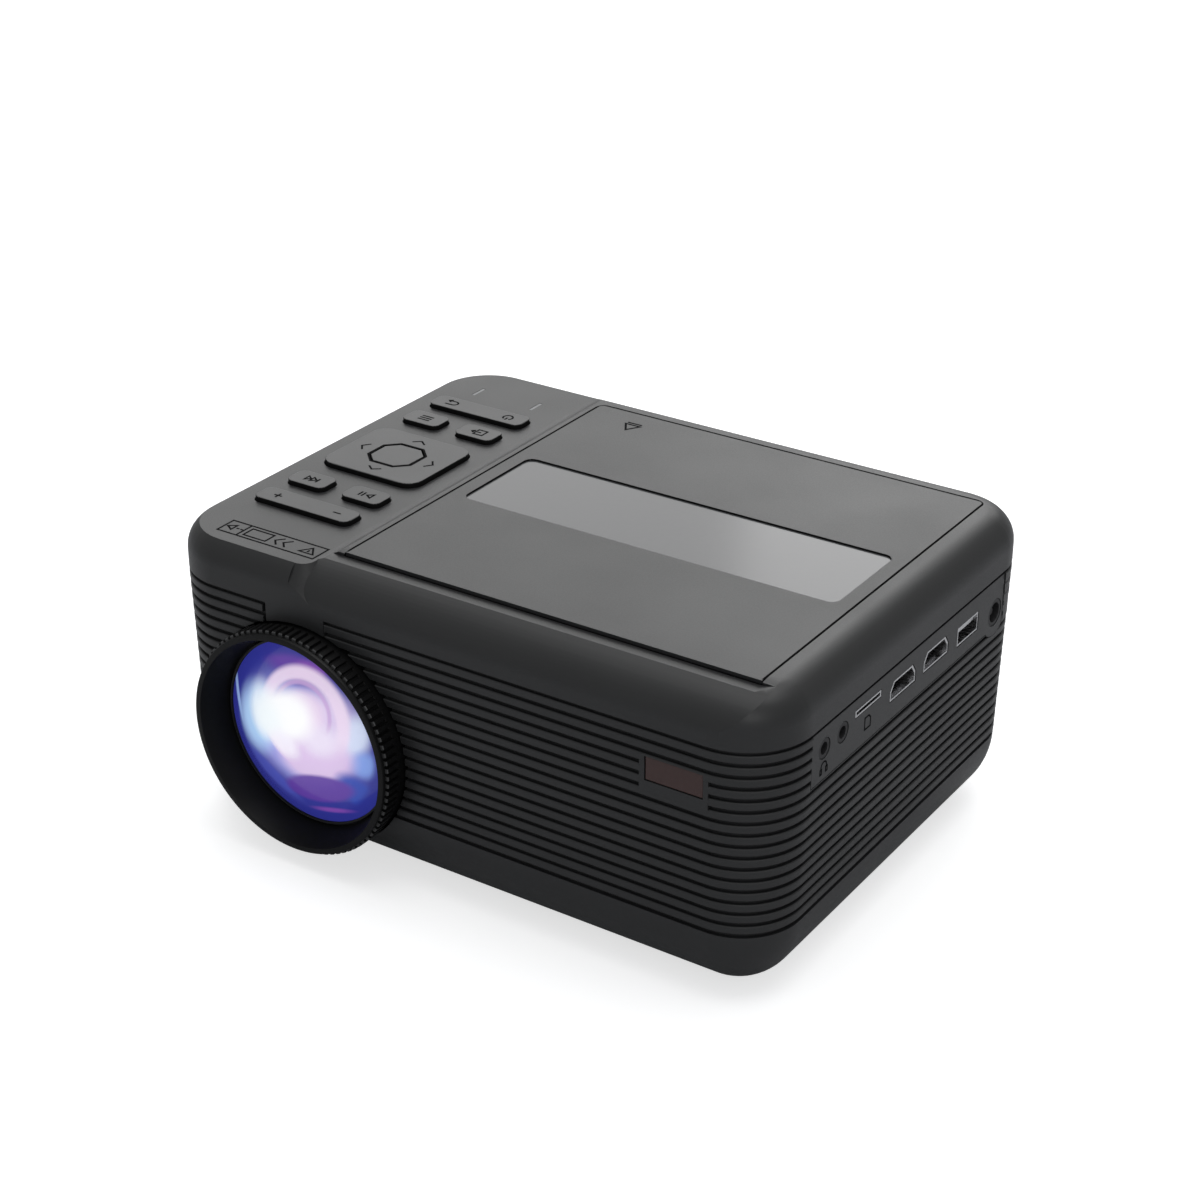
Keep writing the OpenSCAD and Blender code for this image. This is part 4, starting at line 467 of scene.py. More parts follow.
lens_spot = add_node(lens_tree, "ShaderNodeVectorMath", {0: lens_map.outputs["Vector"], 1: (1, 1, 0)},
                     operation="MULTIPLY").outputs[0]
colour = add_node(lens_tree, "ShaderNodeRGB").outputs[0]
colour.default_value = deepest_blue
for centre, angle, half, inner, outer, hollow, strength, tint in light_patches:
    oval = add_node(lens_tree, "ShaderNodeGroup",
                    {"Spot": lens_spot, "Centre": (*centre, 0), "Angle": math.radians(angle),
                     "Half size": (*half, 1), "Inner": inner, "Outer": outer, "Hollow": hollow},
                    node_tree=oval_group)
    colour = add_mix(lens_tree, add_math(lens_tree, "MULTIPLY", oval.outputs["Share"], strength), colour,
                     (*tint, 1))
to_camera = add_node(lens_tree, "ShaderNodeLightPath").outputs["Is Camera Ray"]
fill(lens_shader, {"Base Color": colour, "Roughness": 0.2, "Coat Weight": 0.6, "Coat Roughness": 0.03,
                   "Emission Color": add_mix(lens_tree, to_camera, (0, 0, 0, 1), colour),
                   "Emission Strength": 0.55})
finishes["coated_glass"] = lens_finish
print(len(light_patches), "patches of light on the lens")

# %% [markdown]
# ## Dressing the solids
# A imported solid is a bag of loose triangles. It stays as it is, and a copy is joined, its flat areas are
# merged into single faces, and its normals are smoothed up to a crease angle. Where the mould has a small
# edge radius, a bevel adds it. The copy then rides on the same body and stands for the solid.

# %% Slots and bodies from the record
slot_of = {part["node"]: part["material_slot"] for part in frame["record"]["subparts"]}
bodies = frame["record"]["behaviour"]["bodies"]
body_of = {node: body for body, members in bodies.items() for node in members}


# %% Copy, join and smooth
def hand_over(piece, finish_slot, body, *replaced, finish=None):
    """Gives a finished piece its material, its body and the solids that it stands for."""
    piece.data.materials.clear()
    piece.data.materials.append(finish or finishes[finish_slot])
    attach(piece, body)
    if replaced:
        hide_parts(*replaced)
    return piece


def smooth_up(mesh, crease=32):
    """Smooth shading with hard edges where two faces meet at more than crease degrees."""
    mesh.shade_smooth()
    mesh.set_sharp_from_angle(angle=math.radians(crease))


def soften(piece, width, segments, above):
    """A small edge radius on hard edges above a height, both in millimetres, and normals that keep flat
    faces flat."""
    if width:
        shape = bmesh.new()
        shape.from_mesh(piece.data)
        share = [float(len(e.link_faces) == 2 and e.calc_face_angle() > hard_angle
                       and min(v.co.z for v in e.verts) > above * mm) for e in shape.edges]
        shape.free()
        piece.data.attributes.new("bevel_weight_edge", "FLOAT", "EDGE").data.foreach_set("value", share)
        edge = piece.modifiers.new("edge_radius", "BEVEL")
        edge.width, edge.segments, edge.limit_method = width * mm, segments, "WEIGHT"
        edge.use_clamp_overlap = True
    weigh = piece.modifiers.new("flat_faces", "WEIGHTED_NORMAL")
    weigh.keep_sharp = True
    weigh.weight = flat_weight


def skin_of(node, name, crease=32, edge=0.0, segments=2, above=0.0):
    """A joined, smoothed copy of a solid that stands for it."""
    shape = bmesh.new()
    shape.from_mesh(solids[node].data)
    bmesh.ops.remove_doubles(shape, verts=shape.verts, dist=join_gap)
    bmesh.ops.dissolve_limit(shape, angle_limit=flat_angle, verts=shape.verts, edges=shape.edges)
    shape.verts.index_update()
    mesh = bpy.data.meshes.new(name)
    mesh.from_pydata([v.co[:] for v in shape.verts], [], [[v.index for v in f.verts] for f in shape.faces])
    shape.free()
    mesh.validate()
    smooth_up(mesh, crease)
    piece = new_piece(name, mesh)
    hand_over(piece, slot_of[node], body_of[node], node)
    soften(piece, edge, segments, above)
    return piece


join_gap, flat_angle, hard_angle, flat_weight = 0.002 * mm, math.radians(0.15), math.radians(40), 80

# %% [markdown]
# Hardly any light gets into the narrow gaps round the lid and its window, and plain walls would show them
# too pale. So the upright faces along these gaps get painted shade, a near-black colour, as the second
# material of their piece.

# %% Painted shade in the gaps
gap_reach, gap_floor, upright_limit = 0.6 * mm, 90 * mm, 0.4


def paint_gap_shade(piece):
    """Painted shade, a near-black colour, for upright faces that lie along the lid's or the window's
    outline.
    """
    piece.data.materials.append(painted_shade_flank)
    for low, high in (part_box("disc_lid"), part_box("lid_window")):
        for face in piece.data.polygons:
            spot = face.center
            inside = all(low[k] - gap_reach < spot[k] < high[k] + gap_reach for k in (0, 1))
            near = min(abs(spot[k] - edge[k]) for k in (0, 1) for edge in (low, high)) < gap_reach
            if inside and near and abs(face.normal.z) < upright_limit and spot.z > gap_floor:
                face.material_index = 1


# %% [markdown]
# The casing, the lid and the windows are large mouldings with nearly flat faces, and a copy with the right
# crease angle is all they need. The top cover has long, shallow curves, which ask for a smaller angle.

# %% Casing, lid and windows
for node, name, crease, edge in (
        ("top_cover", "top_cover_skin", 18, 0.0), ("side_shell", "ribbed_shell_skin", 32, 0.0),
        ("bottom_cover", "lower_tray_skin", 32, 0.0), ("port_panel", "socket_panel_skin", 32, 0.12),
        ("disc_lid", "disc_lid_skin", 32, 0.06), ("lid_window", "lid_window_pane", 32, 0.06),
        ("ir_window", "remote_window", 32, 0.2), ("rubber_feet", "rubber_foot_pads", 32, 0.4)):
    shell = skin_of(node, name, crease=crease, edge=edge)
    # The lid, its window and the top cover get painted shade on the upright walls along their gaps.
    if node in ("disc_lid", "lid_window", "top_cover"):
        paint_gap_shade(shell)
    print(name, len(shell.data.polygons), "faces")

# %% [markdown]
# A key has a soft upper edge, and its flanks stand in a narrow, dark slot. So only edges near the top get a
# radius, and every face that doesn't look up gets painted shade, a far darker colour than the key top. The
# plate of the rocking pad also gets a small relief underneath, so that it clears its axle at full tilt.

# %% Key caps
cap_edge, cap_edge_above, level_limit = 0.3, 92.2, 0.5
pad_under_z, pad_relief, pad_search = 90.0 * mm, 0.15 * mm, 0.02 * mm
for node in ("power_rocker", "volume_rocker", "menu_button", "source_button", "previous_button",
             "play_button", "direction_pad", "ok_button"):
    cap = skin_of(node, node + "_cap", edge=cap_edge, segments=3, above=cap_edge_above)
    cap.data.materials.append(painted_shade_flank)
    # Faces that don't look up get the painted shade.
    for face in cap.data.polygons:
        face.material_index = int(face.normal.z < level_limit)
    if node == "direction_pad":
        for corner in cap.data.vertices:
            if abs(corner.co.z - pad_under_z) < pad_search:
                corner.co.z += pad_relief
    print(node, len(cap.data.polygons), "faces")

# %% [markdown]
# Sockets, lamps, pins and the round pieces of the drive have fine enough shapes already, so their copies
# are only joined and smoothed.

# %% Sockets and drive
smoothed = [skin_of(node, node + "_body") for node in (
    "disc_deck", "disc_hub", "lens_barrel", "indicator_lights", "headphone_socket", "av_socket",
    "power_socket", "usb_socket", "card_slot", "video_socket_1", "video_socket_2", "tripod_nut",
    "lid_hinge_pins", "spindle_motor", "guide_rods", "lead_screw")]
print(len(smoothed), "more copies")

# %% [markdown]
# The solids that stay as they are only get their finish: they sit inside the casing, where their flat
# faces and plain edges are right.

# %% Finish for what stays inside
for node, solid in solids.items():
    solid.data.materials.clear()
    solid.data.materials.append(finishes[slot_of[node]])
for node in ("fresnel_front", "fresnel_rear"):
    solids[node].data.materials[0] = ringed_optic
print(len(solids), "solids with a finish")

# %% [markdown]
# ## The lens dome
# The front glass is part of a sphere. Its outline is worked out from the radius and the height of the dome
# and turned round the lens axis, with many more steps than the solid has, because the highlights on a
# coated lens show every facet. Where an outline starts and ends at the same place, the two rows of corners
# are merged there, so that the turned piece is closed.


# %% Turning an outline round the lens axis
def band(shape, first, second):
    """Faces between two closed rows of corners; a row of one corner is a pole."""
    steps = max(len(first), len(second))
    for k in range(steps):
        after = (k + 1) % steps
        corners = (first[k % len(first)], first[after % len(first)],
                   second[after % len(second)], second[k % len(second)])
        shape.faces.new(tuple(dict.fromkeys(corners)))


def closed_mesh(name, shape):
    """A new mesh from a finished bmesh, with its faces turned outwards."""
    bmesh.ops.recalc_face_normals(shape, faces=shape.faces)
    mesh = bpy.data.meshes.new(name)
    shape.to_mesh(mesh)
    shape.free()
    return mesh


def turned_piece(name, outline, steps=96):
    """A closed piece from an outline of (radius, y) in millimetres, turned round the lens axis."""
    shape = bmesh.new()
    rows = []
    for radius, y in outline:
        angles = [2 * math.pi * k / steps for k in range(steps)] if radius else [0]
        rows.append([shape.verts.new((lens_x + radius * mm * math.cos(a), y * mm,
                                      lens_z + radius * mm * math.sin(a))) for a in angles])
    for first, second in zip(rows, rows[1:]):
        band(shape, first, second)
    bmesh.ops.remove_doubles(shape, verts=shape.verts, dist=join_gap / 2)
    mesh = closed_mesh(name, shape)
    smooth_up(mesh)
    return new_piece(name, mesh)


# %% Front glass
dome_h, dome_edge_y, glass_edge, dome_steps = 6.5, -71.0, 4.0, 40
ball_r = (dome_r ** 2 + dome_h ** 2) / (2 * dome_h)
dome_radii = [dome_r * k / dome_steps for k in range(dome_steps + 1)]
dome = [(r, dome_edge_y - (math.sqrt(ball_r ** 2 - r ** 2) - ball_r + dome_h)) for r in dome_radii]
glass_back_y = dome_edge_y + glass_edge
front_glass = turned_piece("coated_front_glass", dome + [(dome_r, glass_back_y), (0, glass_back_y)])
hand_over(front_glass, "coated_glass", "barrel", "front_lens")
print("lens apex at y", round(dome[0][1], 2))

# %% [markdown]
# ## Legends and marks
# The signs on the keys are printed in dark ink and read from behind, where one stands to watch the picture.
# Each sign is a few strokes. A stroke becomes a flat ribbon that lies a few hundredths of a millimetre
# proud of its face, with mitred corners, so the signs stay sharp at any size and ride on their own key.

# %% Ribbons along strokes
stroke_w, mitre_limit = 0.6, 0.5


def arc(x, y, radius, start, end, steps=14):
    """Points on an arc, angles in degrees."""
    angles = [math.radians(start + (end - start) * k / steps) for k in range(steps + 1)]
    return [(x + radius * math.cos(a), y + radius * math.sin(a)) for a in angles]


def ribbon_piece(name, strokes, width, place_of, slot, body, thick=0.03):
    """Inked ribbons along strokes; place_of turns (across, along, height) into a place in the scene."""
    shape = bmesh.new()
    for stroke in strokes:
        closed = stroke[0] == stroke[-1]
        points = [Vector(point) for point in (stroke[:-1] if closed else stroke)]
        ways = [(points[(i + 1) % len(points)] - point).normalized() for i, point in enumerate(points)]
        sections = []
        for i, point in enumerate(points):
            way_in = ways[i - 1] if closed or i else ways[0]
            way_out = ways[i] if closed or i < len(points) - 1 else way_in
            side = Vector((-way_in.y - way_out.y, way_in.x + way_out.x)).normalized()
            half = side * width / 2 / max(mitre_limit, side.dot(Vector((-way_in.y, way_in.x))))
            sections.append([shape.verts.new(place_of(*(point + sign * half), height))
                             for sign, height in ((1, thick), (-1, thick), (-1, -thick), (1, -thick))])
        for i in range(len(points) if closed else len(points) - 1):
            band(shape, sections[i], sections[(i + 1) % len(points)])
        if not closed:
            shape.faces.new(sections[0])
            shape.faces.new(sections[-1][::-1])
    return hand_over(new_piece(name, closed_mesh(name, shape)), slot, body, finish=ink)


def read_from_behind(x, y, top):
    """Place of a sign on a level face, turned so that it reads from the back of the projector."""
    return lambda across, along, height: ((x - across) * mm, (y - along) * mm, top + height * mm)


# %% Signs on the keys
def box_path(x0, y0, x1, y1):
    """A closed rectangular stroke."""
    return [(x0, y0), (x1, y0), (x1, y1), (x0, y1), (x0, y0)]


chevron = [(-2.3, -0.9), (0, 0.9), (2.3, -0.9)]
ok_rim = [(-8.1, -3.9), (-4.2, -7.8), (4.2, -7.8), (8.1, -3.9), (8.1, 3.9), (4.2, 7.8), (-4.2, 7.8),
          (-8.1, 3.9), (-8.1, -3.9)]
signs = {
    "power_rocker": [arc(-11, 0, 1.6, 125, 415), [(-11, 0.2), (-11, 1.9)],
                     [(12.6, 1.3), (9.9, 1.3)] + arc(9.9, 0, 1.3, 90, 270, 8)[1:] + [(12.3, -1.3)],
                     [(11.6, -0.4), (12.7, -1.3), (11.6, -2.1)]],
    "menu_button": [[(-2.2, y), (2.2, y)] for y in (-1.3, 0, 1.3)],
    "source_button": [[(0.9, 0.6), (0.9, 1.7), (-2.3, 1.7), (-2.3, -1.7), (0.9, -1.7), (0.9, -0.6)],
                      [(-0.9, 0), (2.5, 0)], [(1.5, 0.9), (2.5, 0), (1.5, -0.9)]],
    "direction_pad": [[(x, y + 11.6) for x, y in chevron], [(x, -y - 11.6) for x, y in chevron],
                      [(y + 12.6, x) for x, y in chevron], [(-y - 12.6, x) for x, y in chevron], ok_rim],
    "previous_button": [[(-2.2, 1.3), (-2.2, -1.3)], [(0, 1.3), (-1.7, 0), (0, -1.3), (0, 1.3)],
                        [(2, 1.3), (0.3, 0), (2, -1.3), (2, 1.3)]],
    "play_button": [[(-2.2, 1.3), (-2.2, -1.3), (-0.3, 0), (-2.2, 1.3)], [(0.9, 1.3), (0.9, -1.3)],
                    [(2.1, 1.3), (2.1, -1.3)]],
    "volume_rocker": [[(9.6, 0), (12.4, 0)], [(11, 1.4), (11, -1.4)], [(-12.4, 0), (-9.6, 0)]],
}
for node, strokes in signs.items():
    low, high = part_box(node)
    middle_x, middle_y = (low.x + high.x) / 2 / mm, (low.y + high.y) / 2 / mm
    ribbon_piece(node + "_sign", strokes, stroke_w, read_from_behind(middle_x, middle_y, high.z),
                 slot_of[node], body_of[node])
print(len(signs), "key signs")

# %% [markdown]
# The strip beside the keys shows a few outlines that guide through the picture settings, and the lid has the
# usual sign for opening. A thin dark line along the lid's rim is painted shadow: the shade in the narrow gap
# and on the tiny chamfer round the lid. The two marks on the socket side stand upright.

# %% Marks on the panel and the lid
panel_top, lid_top = 92.7 * mm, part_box("disc_lid")[1].z
strip_marks = [box_path(-17.5, -3.6, 17.5, 3.6), [(-10.6, -3.6), (-10.6, 3.6)], box_path(-9, -2.2, -1, 2.2),
               [(13.4, -1.8), (15.9, 1.6), (10.9, 1.6), (13.4, -1.8)], [(13.4, -0.2), (13.4, 0.9)]]
strip_marks += [[(x + 2, 2.2), (x, 0), (x + 2, -2.2)] for x in (1, 4)]
strip_marks += [[(x, 0), (x + 0.9, 0)] for x in (-11.9, -13.3)]
strip_marks += [[(-16.6, 0), (-14.2, 1.5), (-14.2, -1.5), (-16.6, 0)]]
mirrored = [[(-x, y) for x, y in stroke] for stroke in strip_marks]
strip_place, lid_sign_place = (-69, -61), (-26.8, 60.4)
ribbon_piece("picture_guide", mirrored, stroke_w, read_from_behind(*strip_place, panel_top),
             "casing_plastic", body_of["top_cover"])
lid_sign = [[(-2.6, -1.6), (0, 2.6), (2.6, -1.6), (-2.6, -1.6)], [(-2.6, -2.8), (2.6, -2.8)]]
ribbon_piece("lid_sign", lid_sign, 0.7, read_from_behind(*lid_sign_place, lid_top), "casing_plastic",
             body_of["disc_lid"])
# Painted shadow: a dark ribbon in the signs' ink along the lid's edge, over the narrow gap round it.
rim_x0, rim_x1, rim_y0, rim_y1, rim_r = -44.1, 89.5, -58.0, 70.5, 1.8
lid_gap_shadow_path = ([(rim_x0, rim_y0)] + arc(rim_x0 + rim_r, rim_y1 - rim_r, rim_r, 180, 90, 6)
           + arc(rim_x1 - rim_r, rim_y1 - rim_r, rim_r, 90, 0, 6) + [(rim_x1, rim_y0)])
ribbon_piece("lid_rim_line", [lid_gap_shadow_path], 0.4, lambda x, y, height: (x * mm, y * mm, lid_top + height * mm),
             "casing_plastic", body_of["disc_lid"], thick=0.015)
print("panel strip of", len(strip_marks), "strokes, lid rim of", len(lid_gap_shadow_path), "points")

# %% Marks on the port panel
port_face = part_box("port_panel")[1].x


def on_port_face(y, z):
    """Place of a mark on the right-hand face."""
    return lambda across, along, height: (port_face + height * mm, (y + across) * mm, (z + along) * mm)


headphones = [arc(0, 0, 1.5, -20, 200), box_path(-1.9, -1.8, -1.1, -0.4), box_path(1.1, -1.8, 1.9, -0.4)]
card = [[(-1.6, 1.8), (0.6, 1.8), (1.6, 0.8), (1.6, -1.8), (-1.6, -1.8), (-1.6, 1.8)]]
for name, strokes, y, z in (("headphone_mark", headphones, -45.7, 66.6), ("card_mark", card, -21.8, 68.6)):
    ribbon_piece(name, strokes, 0.5, on_port_face(y, z), "casing_plastic", body_of["port_panel"])
    print(name, "at", y, z)

# %% [markdown]
# ## Pieces that repeat by a rule
# The teeth of the focus ring, the fins of the heat sink, the blades of the fan and the case screws are one
# unit each, copied by a rule. Three Geometry Nodes trees hold the rules: copies on a circle, on a line and
# on given points. The count, the radius and the step are inputs, so a finer knurl is one number away. Each
# result is written back as a plain mesh, because a moving piece has to be one.

# %% Helpers for the trees of copies
tree_inputs = [("Geometry", "NodeSocketGeometry", None), ("Unit", "NodeSocketObject", None),
               ("Material", "NodeSocketMaterial", None)]
tree_outputs = [("Geometry", "NodeSocketGeometry")]


def copies_of_unit(tree, start, points, **turned_by):
    """The unit, once on each of the points."""
    unit = add_node(tree, "GeometryNodeObjectInfo", {"Object": start.outputs["Unit"]})
    placed = add_node(tree, "GeometryNodeInstanceOnPoints",
                      {"Points": points, "Instance": unit.outputs["Geometry"], **turned_by})
    return placed.outputs["Instances"]


def joined_to_host(tree, start, copies):
    """The host's own shape and the copies together."""
    both = add_node(tree, "GeometryNodeJoinGeometry")
    for shape in (start.outputs["Geometry"], copies):
        tree.links.new(shape, both.inputs["Geometry"])
    return both.outputs["Geometry"]


def close_tree(tree, start, end, shape):
    """Makes the copies real, gives them the finish and ends the tree."""
    real = add_node(tree, "GeometryNodeRealizeInstances", {"Geometry": shape})
    painted = add_node(tree, "GeometryNodeSetMaterial", {"Geometry": real.outputs["Geometry"],
                                                         "Material": start.outputs["Material"]})
    fill(end, {"Geometry": painted.outputs["Geometry"]})
    print("tree", tree.name, len(tree.nodes), "nodes")


# %% Tree: copies on a circle
circle_tree, circle_in, circle_out = new_group(
    "copies_on_a_circle",
    tree_inputs + [("Count", "NodeSocketInt", 12), ("Radius", "NodeSocketFloat", 0.01),
                   ("Centre", "NodeSocketVector", (0, 0, 0))],
    tree_outputs, "GeometryNodeTree")
wheel = add_node(circle_tree, "GeometryNodeMeshCircle", {"Vertices": circle_in.outputs["Count"],
                                                         "Radius": circle_in.outputs["Radius"]})
standing = add_node(circle_tree, "GeometryNodeTransform", {"Geometry": wheel.outputs["Mesh"],
                                                           "Rotation": (math.radians(90), 0, 0)})
wheel_place = add_node(circle_tree, "GeometryNodeInputPosition").outputs["Position"]
wheel_xyz = add_node(circle_tree, "ShaderNodeSeparateXYZ", {"Vector": wheel_place})
wheel_angle = add_math(circle_tree, "ARCTAN2", wheel_xyz.outputs["Z"], wheel_xyz.outputs["X"])
wheel_turn = add_node(circle_tree, "ShaderNodeCombineXYZ",
                      {"Y": add_math(circle_tree, "MULTIPLY", wheel_angle, -1.0)}).outputs["Vector"]
wheel_copies = copies_of_unit(circle_tree, circle_in, standing.outputs["Geometry"], Rotation=wheel_turn)
wheel_moved = add_node(circle_tree, "GeometryNodeTransform", {"Geometry": wheel_copies,
                                                              "Translation": circle_in.outputs["Centre"]})
close_tree(circle_tree, circle_in, circle_out,
           joined_to_host(circle_tree, circle_in, wheel_moved.outputs["Geometry"]))

# %% Trees: copies on a line and on given points
line_tree, line_in, line_out = new_group(
    "copies_on_a_line",
    tree_inputs + [("Count", "NodeSocketInt", 8), ("Start", "NodeSocketVector", (0, 0, 0)),
                   ("Step", "NodeSocketVector", (0.01, 0, 0))],
    tree_outputs, "GeometryNodeTree")
row = add_node(line_tree, "GeometryNodeMeshLine", {"Count": line_in.outputs["Count"],
                                                   "Start Location": line_in.outputs["Start"],
                                                   "Offset": line_in.outputs["Step"]}, mode="OFFSET")
row_copies = copies_of_unit(line_tree, line_in, row.outputs["Mesh"])
close_tree(line_tree, line_in, line_out, joined_to_host(line_tree, line_in, row_copies))

point_tree, point_in, point_out = new_group("copies_on_points", tree_inputs, tree_outputs,
                                            "GeometryNodeTree")
close_tree(point_tree, point_in, point_out,
           copies_of_unit(point_tree, point_in, point_in.outputs["Geometry"]))

# %% [markdown]
# A tree needs an object to work on and an object to copy. Both are only there while the piece grows: the
# evaluated result becomes a plain mesh, and the helpers are removed. A tooth and a fin are convex, so a hull
# round a few corner points is the shortest way to a clean, closed unit. Blade and screw are built further
# down from rows of corners.


# %% Growing a piece with a tree
def grown_piece(name, tree, host, unit, finish, **values):
    """A plain mesh object from a host mesh, a unit mesh and a tree of copies."""
    carrier, unit_piece = new_piece(name + "_host", host), new_piece(name + "_unit", unit)
    growth = carrier.modifiers.new("growth", "NODES")
    growth.node_group = tree
    values.update(Unit=unit_piece, Material=finish)
    for item in tree.interface.items_tree:
        if item.in_out == "INPUT" and item.name in values:
            growth[item.identifier] = values[item.name]
    bpy.context.view_layer.update()
    graph = bpy.context.evaluated_depsgraph_get()
    mesh = bpy.data.meshes.new_from_object(carrier.evaluated_get(graph), depsgraph=graph)
    bpy.data.objects.remove(carrier)
    bpy.data.objects.remove(unit_piece)
    mesh.name = name
    smooth_up(mesh)
    print(name, len(mesh.polygons), "faces")
    return new_piece(name, mesh)


def hull_mesh(name, places):
    """A closed convex mesh round the given places, in metres."""
    shape = bmesh.new()
    corners = [shape.verts.new(place) for place in places]
    bmesh.ops.convex_hull(shape, input=corners)
    bmesh.ops.dissolve_limit(shape, angle_limit=math.radians(1), verts=shape.verts, edges=shape.edges)
    return closed_mesh(name, shape)


def broken_box(name, low, high, cut):
    """A box with all its edges broken by cut, in metres."""
    places = []
    for corner in ((x, y, z) for x in (0, 1) for y in (0, 1) for z in (0, 1)):
        tip = Vector([(low, high)[pick][axis] for axis, pick in enumerate(corner)])
        inward = [(cut, -cut)[pick] for pick in corner]
        for axis in range(3):
            places.append(tip + Vector([0 if k == axis else inward[k] for k in range(3)]))
    return hull_mesh(name, places)


# %% [markdown]
# ## The focus ring
# The ring is turned round the lens: a lip in front, a seat that carries the knurl, a sleeve and a funnel
# that opens towards the screen. The outline is drawn once, as (radius, y), and turned. The knurl is one
# tooth with a broken edge, copied on a circle. Its front ends get a painted highlight, a lighter colour,
# because they catch the light.

# %% Focus ring: turned body
ring_low, ring_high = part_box("focus_ring")
ring_front, ring_back = ring_low.y / mm, ring_high.y / mm
lip_r, seat_r, sleeve_r, bore_r, funnel_r = 34.3, 34.2, 34.3, 31.2, 29.85
mouth_r, groove_r = 32.5, seat_r - 0.4
ring_outline = [(radius, ring_front + depth) for radius, depth in (
    (mouth_r, 0), (lip_r - 0.4, 0), (lip_r - 0.12, 0.1), (lip_r, 0.35), (lip_r, 1.1), (groove_r, 1.3),
    (groove_r, 1.5), (seat_r, 1.6), (seat_r, 6.6), (sleeve_r, 6.7))]
ring_outline += [(sleeve_r, ring_back), (bore_r, ring_back)]
ring_outline += [(radius, ring_front + depth) for radius, depth in (
    (bore_r, 10.1), (funnel_r, 10.1), (funnel_r, 9.3), (mouth_r - 0.05, 0.1), (mouth_r, 0))]
ring_body = turned_piece("focus_ring_body", ring_outline, steps=180)
hand_over(ring_body, "ring_plastic", body_of["focus_ring"], "focus_ring")
print("ring", len(ring_body.data.polygons), "faces")

# %% Focus ring: teeth
tooth_count, tooth_front, tooth_back = 90, ring_front + 1.4, ring_front + 6.6
tip_r = (ring_high.z - lens_z) / mm
root_depth, tooth_h, front_facing = 0.5, 0.9, -0.3
tooth = hull_mesh("ring_tooth", [
    (rise * mm, y * mm, side * half * mm)
    for rise, half, y in ((-root_depth, 0.8, tooth_front), (-root_depth, 0.8, tooth_back),
                          (0.62, 0.66, tooth_front), (tooth_h, 0.58, tooth_front + 0.25),
                          (tooth_h, 0.58, tooth_back - 0.2), (0.66, 0.66, tooth_back)) for side in (-1, 1)])
teeth = grown_piece("focus_ring_teeth", circle_tree, bpy.data.meshes.new("no_host"), tooth, painted_tooth_highlight,
                    Count=tooth_count, Radius=(tip_r - tooth_h) * mm, Centre=(lens_x, 0, lens_z))
hand_over(teeth, "ring_plastic", body_of["focus_ring"])
# The front ends of the teeth get the painted highlight as their second material.
teeth.data.materials.append(painted_tooth_highlight)
for face in teeth.data.polygons:
    face.material_index = int(face.normal.y < front_facing)

# %% [markdown]
# ## The heat sink
# An extruded sink is a base plate with thin fins in an even row, so one fin and the tree for a line are
# enough. All edges are broken a little, as a deburred cut has them.

# %% Heat sink
sink_low, sink_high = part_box("heat_sink")
fin_count, fin_t, sink_base_t, fin_sunk = 13, 1.2 * mm, 3 * mm, 0.2 * mm
fin = broken_box("sink_fin", Vector((0, sink_low.y + sink_base_t - fin_sunk, sink_low.z)),
                 Vector((fin_t, sink_high.y, sink_high.z)), 0.25 * mm)
sink_base = broken_box("sink_base", sink_low, Vector((sink_high.x, sink_low.y + sink_base_t, sink_high.z)),
                       0.4 * mm)
fin_step = (sink_high.x - sink_low.x - fin_t) / (fin_count - 1)
sink = grown_piece("finned_heat_sink", line_tree, sink_base, fin, finishes["aluminium"], Count=fin_count,
                   Start=(sink_low.x, 0, 0), Step=(fin_step, 0, 0))
hand_over(sink, "aluminium", body_of["heat_sink"], "heat_sink")
print("fins every", round(fin_step / mm, 2), "mm")

# %% [markdown]
# ## The fan rotor
# The rotor is a turned hub with seven blades. A blade twists from a steep angle at the hub to a flat one at
# the tip, as air speed asks for. It is a skin over nine thin, curved sections, each laid on a circle round
# the axis, and the tree for a circle copies it. That circle has next to no radius, just enough to give each
# copy its angle.

# %% Fan hub
rotor_low, rotor_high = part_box("fan_rotor")
rotor_mid, rotor_half = (rotor_low.y + rotor_high.y) / 2 / mm, (rotor_high.y - rotor_low.y) / 2 / mm
hub_r, hub_bevel = 11.0, 1
hub = turned_piece("fan_hub", [(0, rotor_mid + rotor_half), (hub_r - hub_bevel, rotor_mid + rotor_half),
                               (hub_r, rotor_mid + rotor_half - hub_bevel), (hub_r, rotor_mid - rotor_half),
                               (0, rotor_mid - rotor_half)], steps=64)
print("hub", len(hub.data.polygons), "faces")

# %% Fan blades
blade_count, blade_sections, blade_tip_r = 7, 9, (rotor_high.z - rotor_low.z) / 2 / mm - 0.05
root_r, root_lean, tip_lean, root_chord, tip_chord = hub_r - 1, 42, 28, 7.4, 9.0
camber, above_middle, below_middle, chord_steps = 0.5, 0.5, 0.4, 5
nearly_no_radius = 0.0001 * mm
across_chord = [k / chord_steps - 0.5 for k in range(chord_steps + 1)]
blade_shape = bmesh.new()
blade_rows = []
for i in range(blade_sections):
    share = i / (blade_sections - 1)
    r = root_r + (blade_tip_r - root_r) * share
    lean = math.radians(root_lean + (tip_lean - root_lean) * share)
    chord = root_chord + (tip_chord - root_chord) * share
    middle = [(place * chord, camber * math.cos(math.pi * place)) for place in across_chord]
    section = ([(u, v + above_middle) for u, v in middle]
               + [(u, v - below_middle) for u, v in reversed(middle)])
    blade_rows.append([blade_shape.verts.new(
        (math.sqrt(max(r * r - (u * math.cos(lean)) ** 2, 1)) * mm,
         (rotor_mid + u * math.sin(lean) + v * math.cos(lean)) * mm,
         (u * math.cos(lean) - v * math.sin(lean)) * mm)) for u, v in section])
for first, second in zip(blade_rows, blade_rows[1:]):
    band(blade_shape, first, second)
blade_shape.faces.new(blade_rows[0])
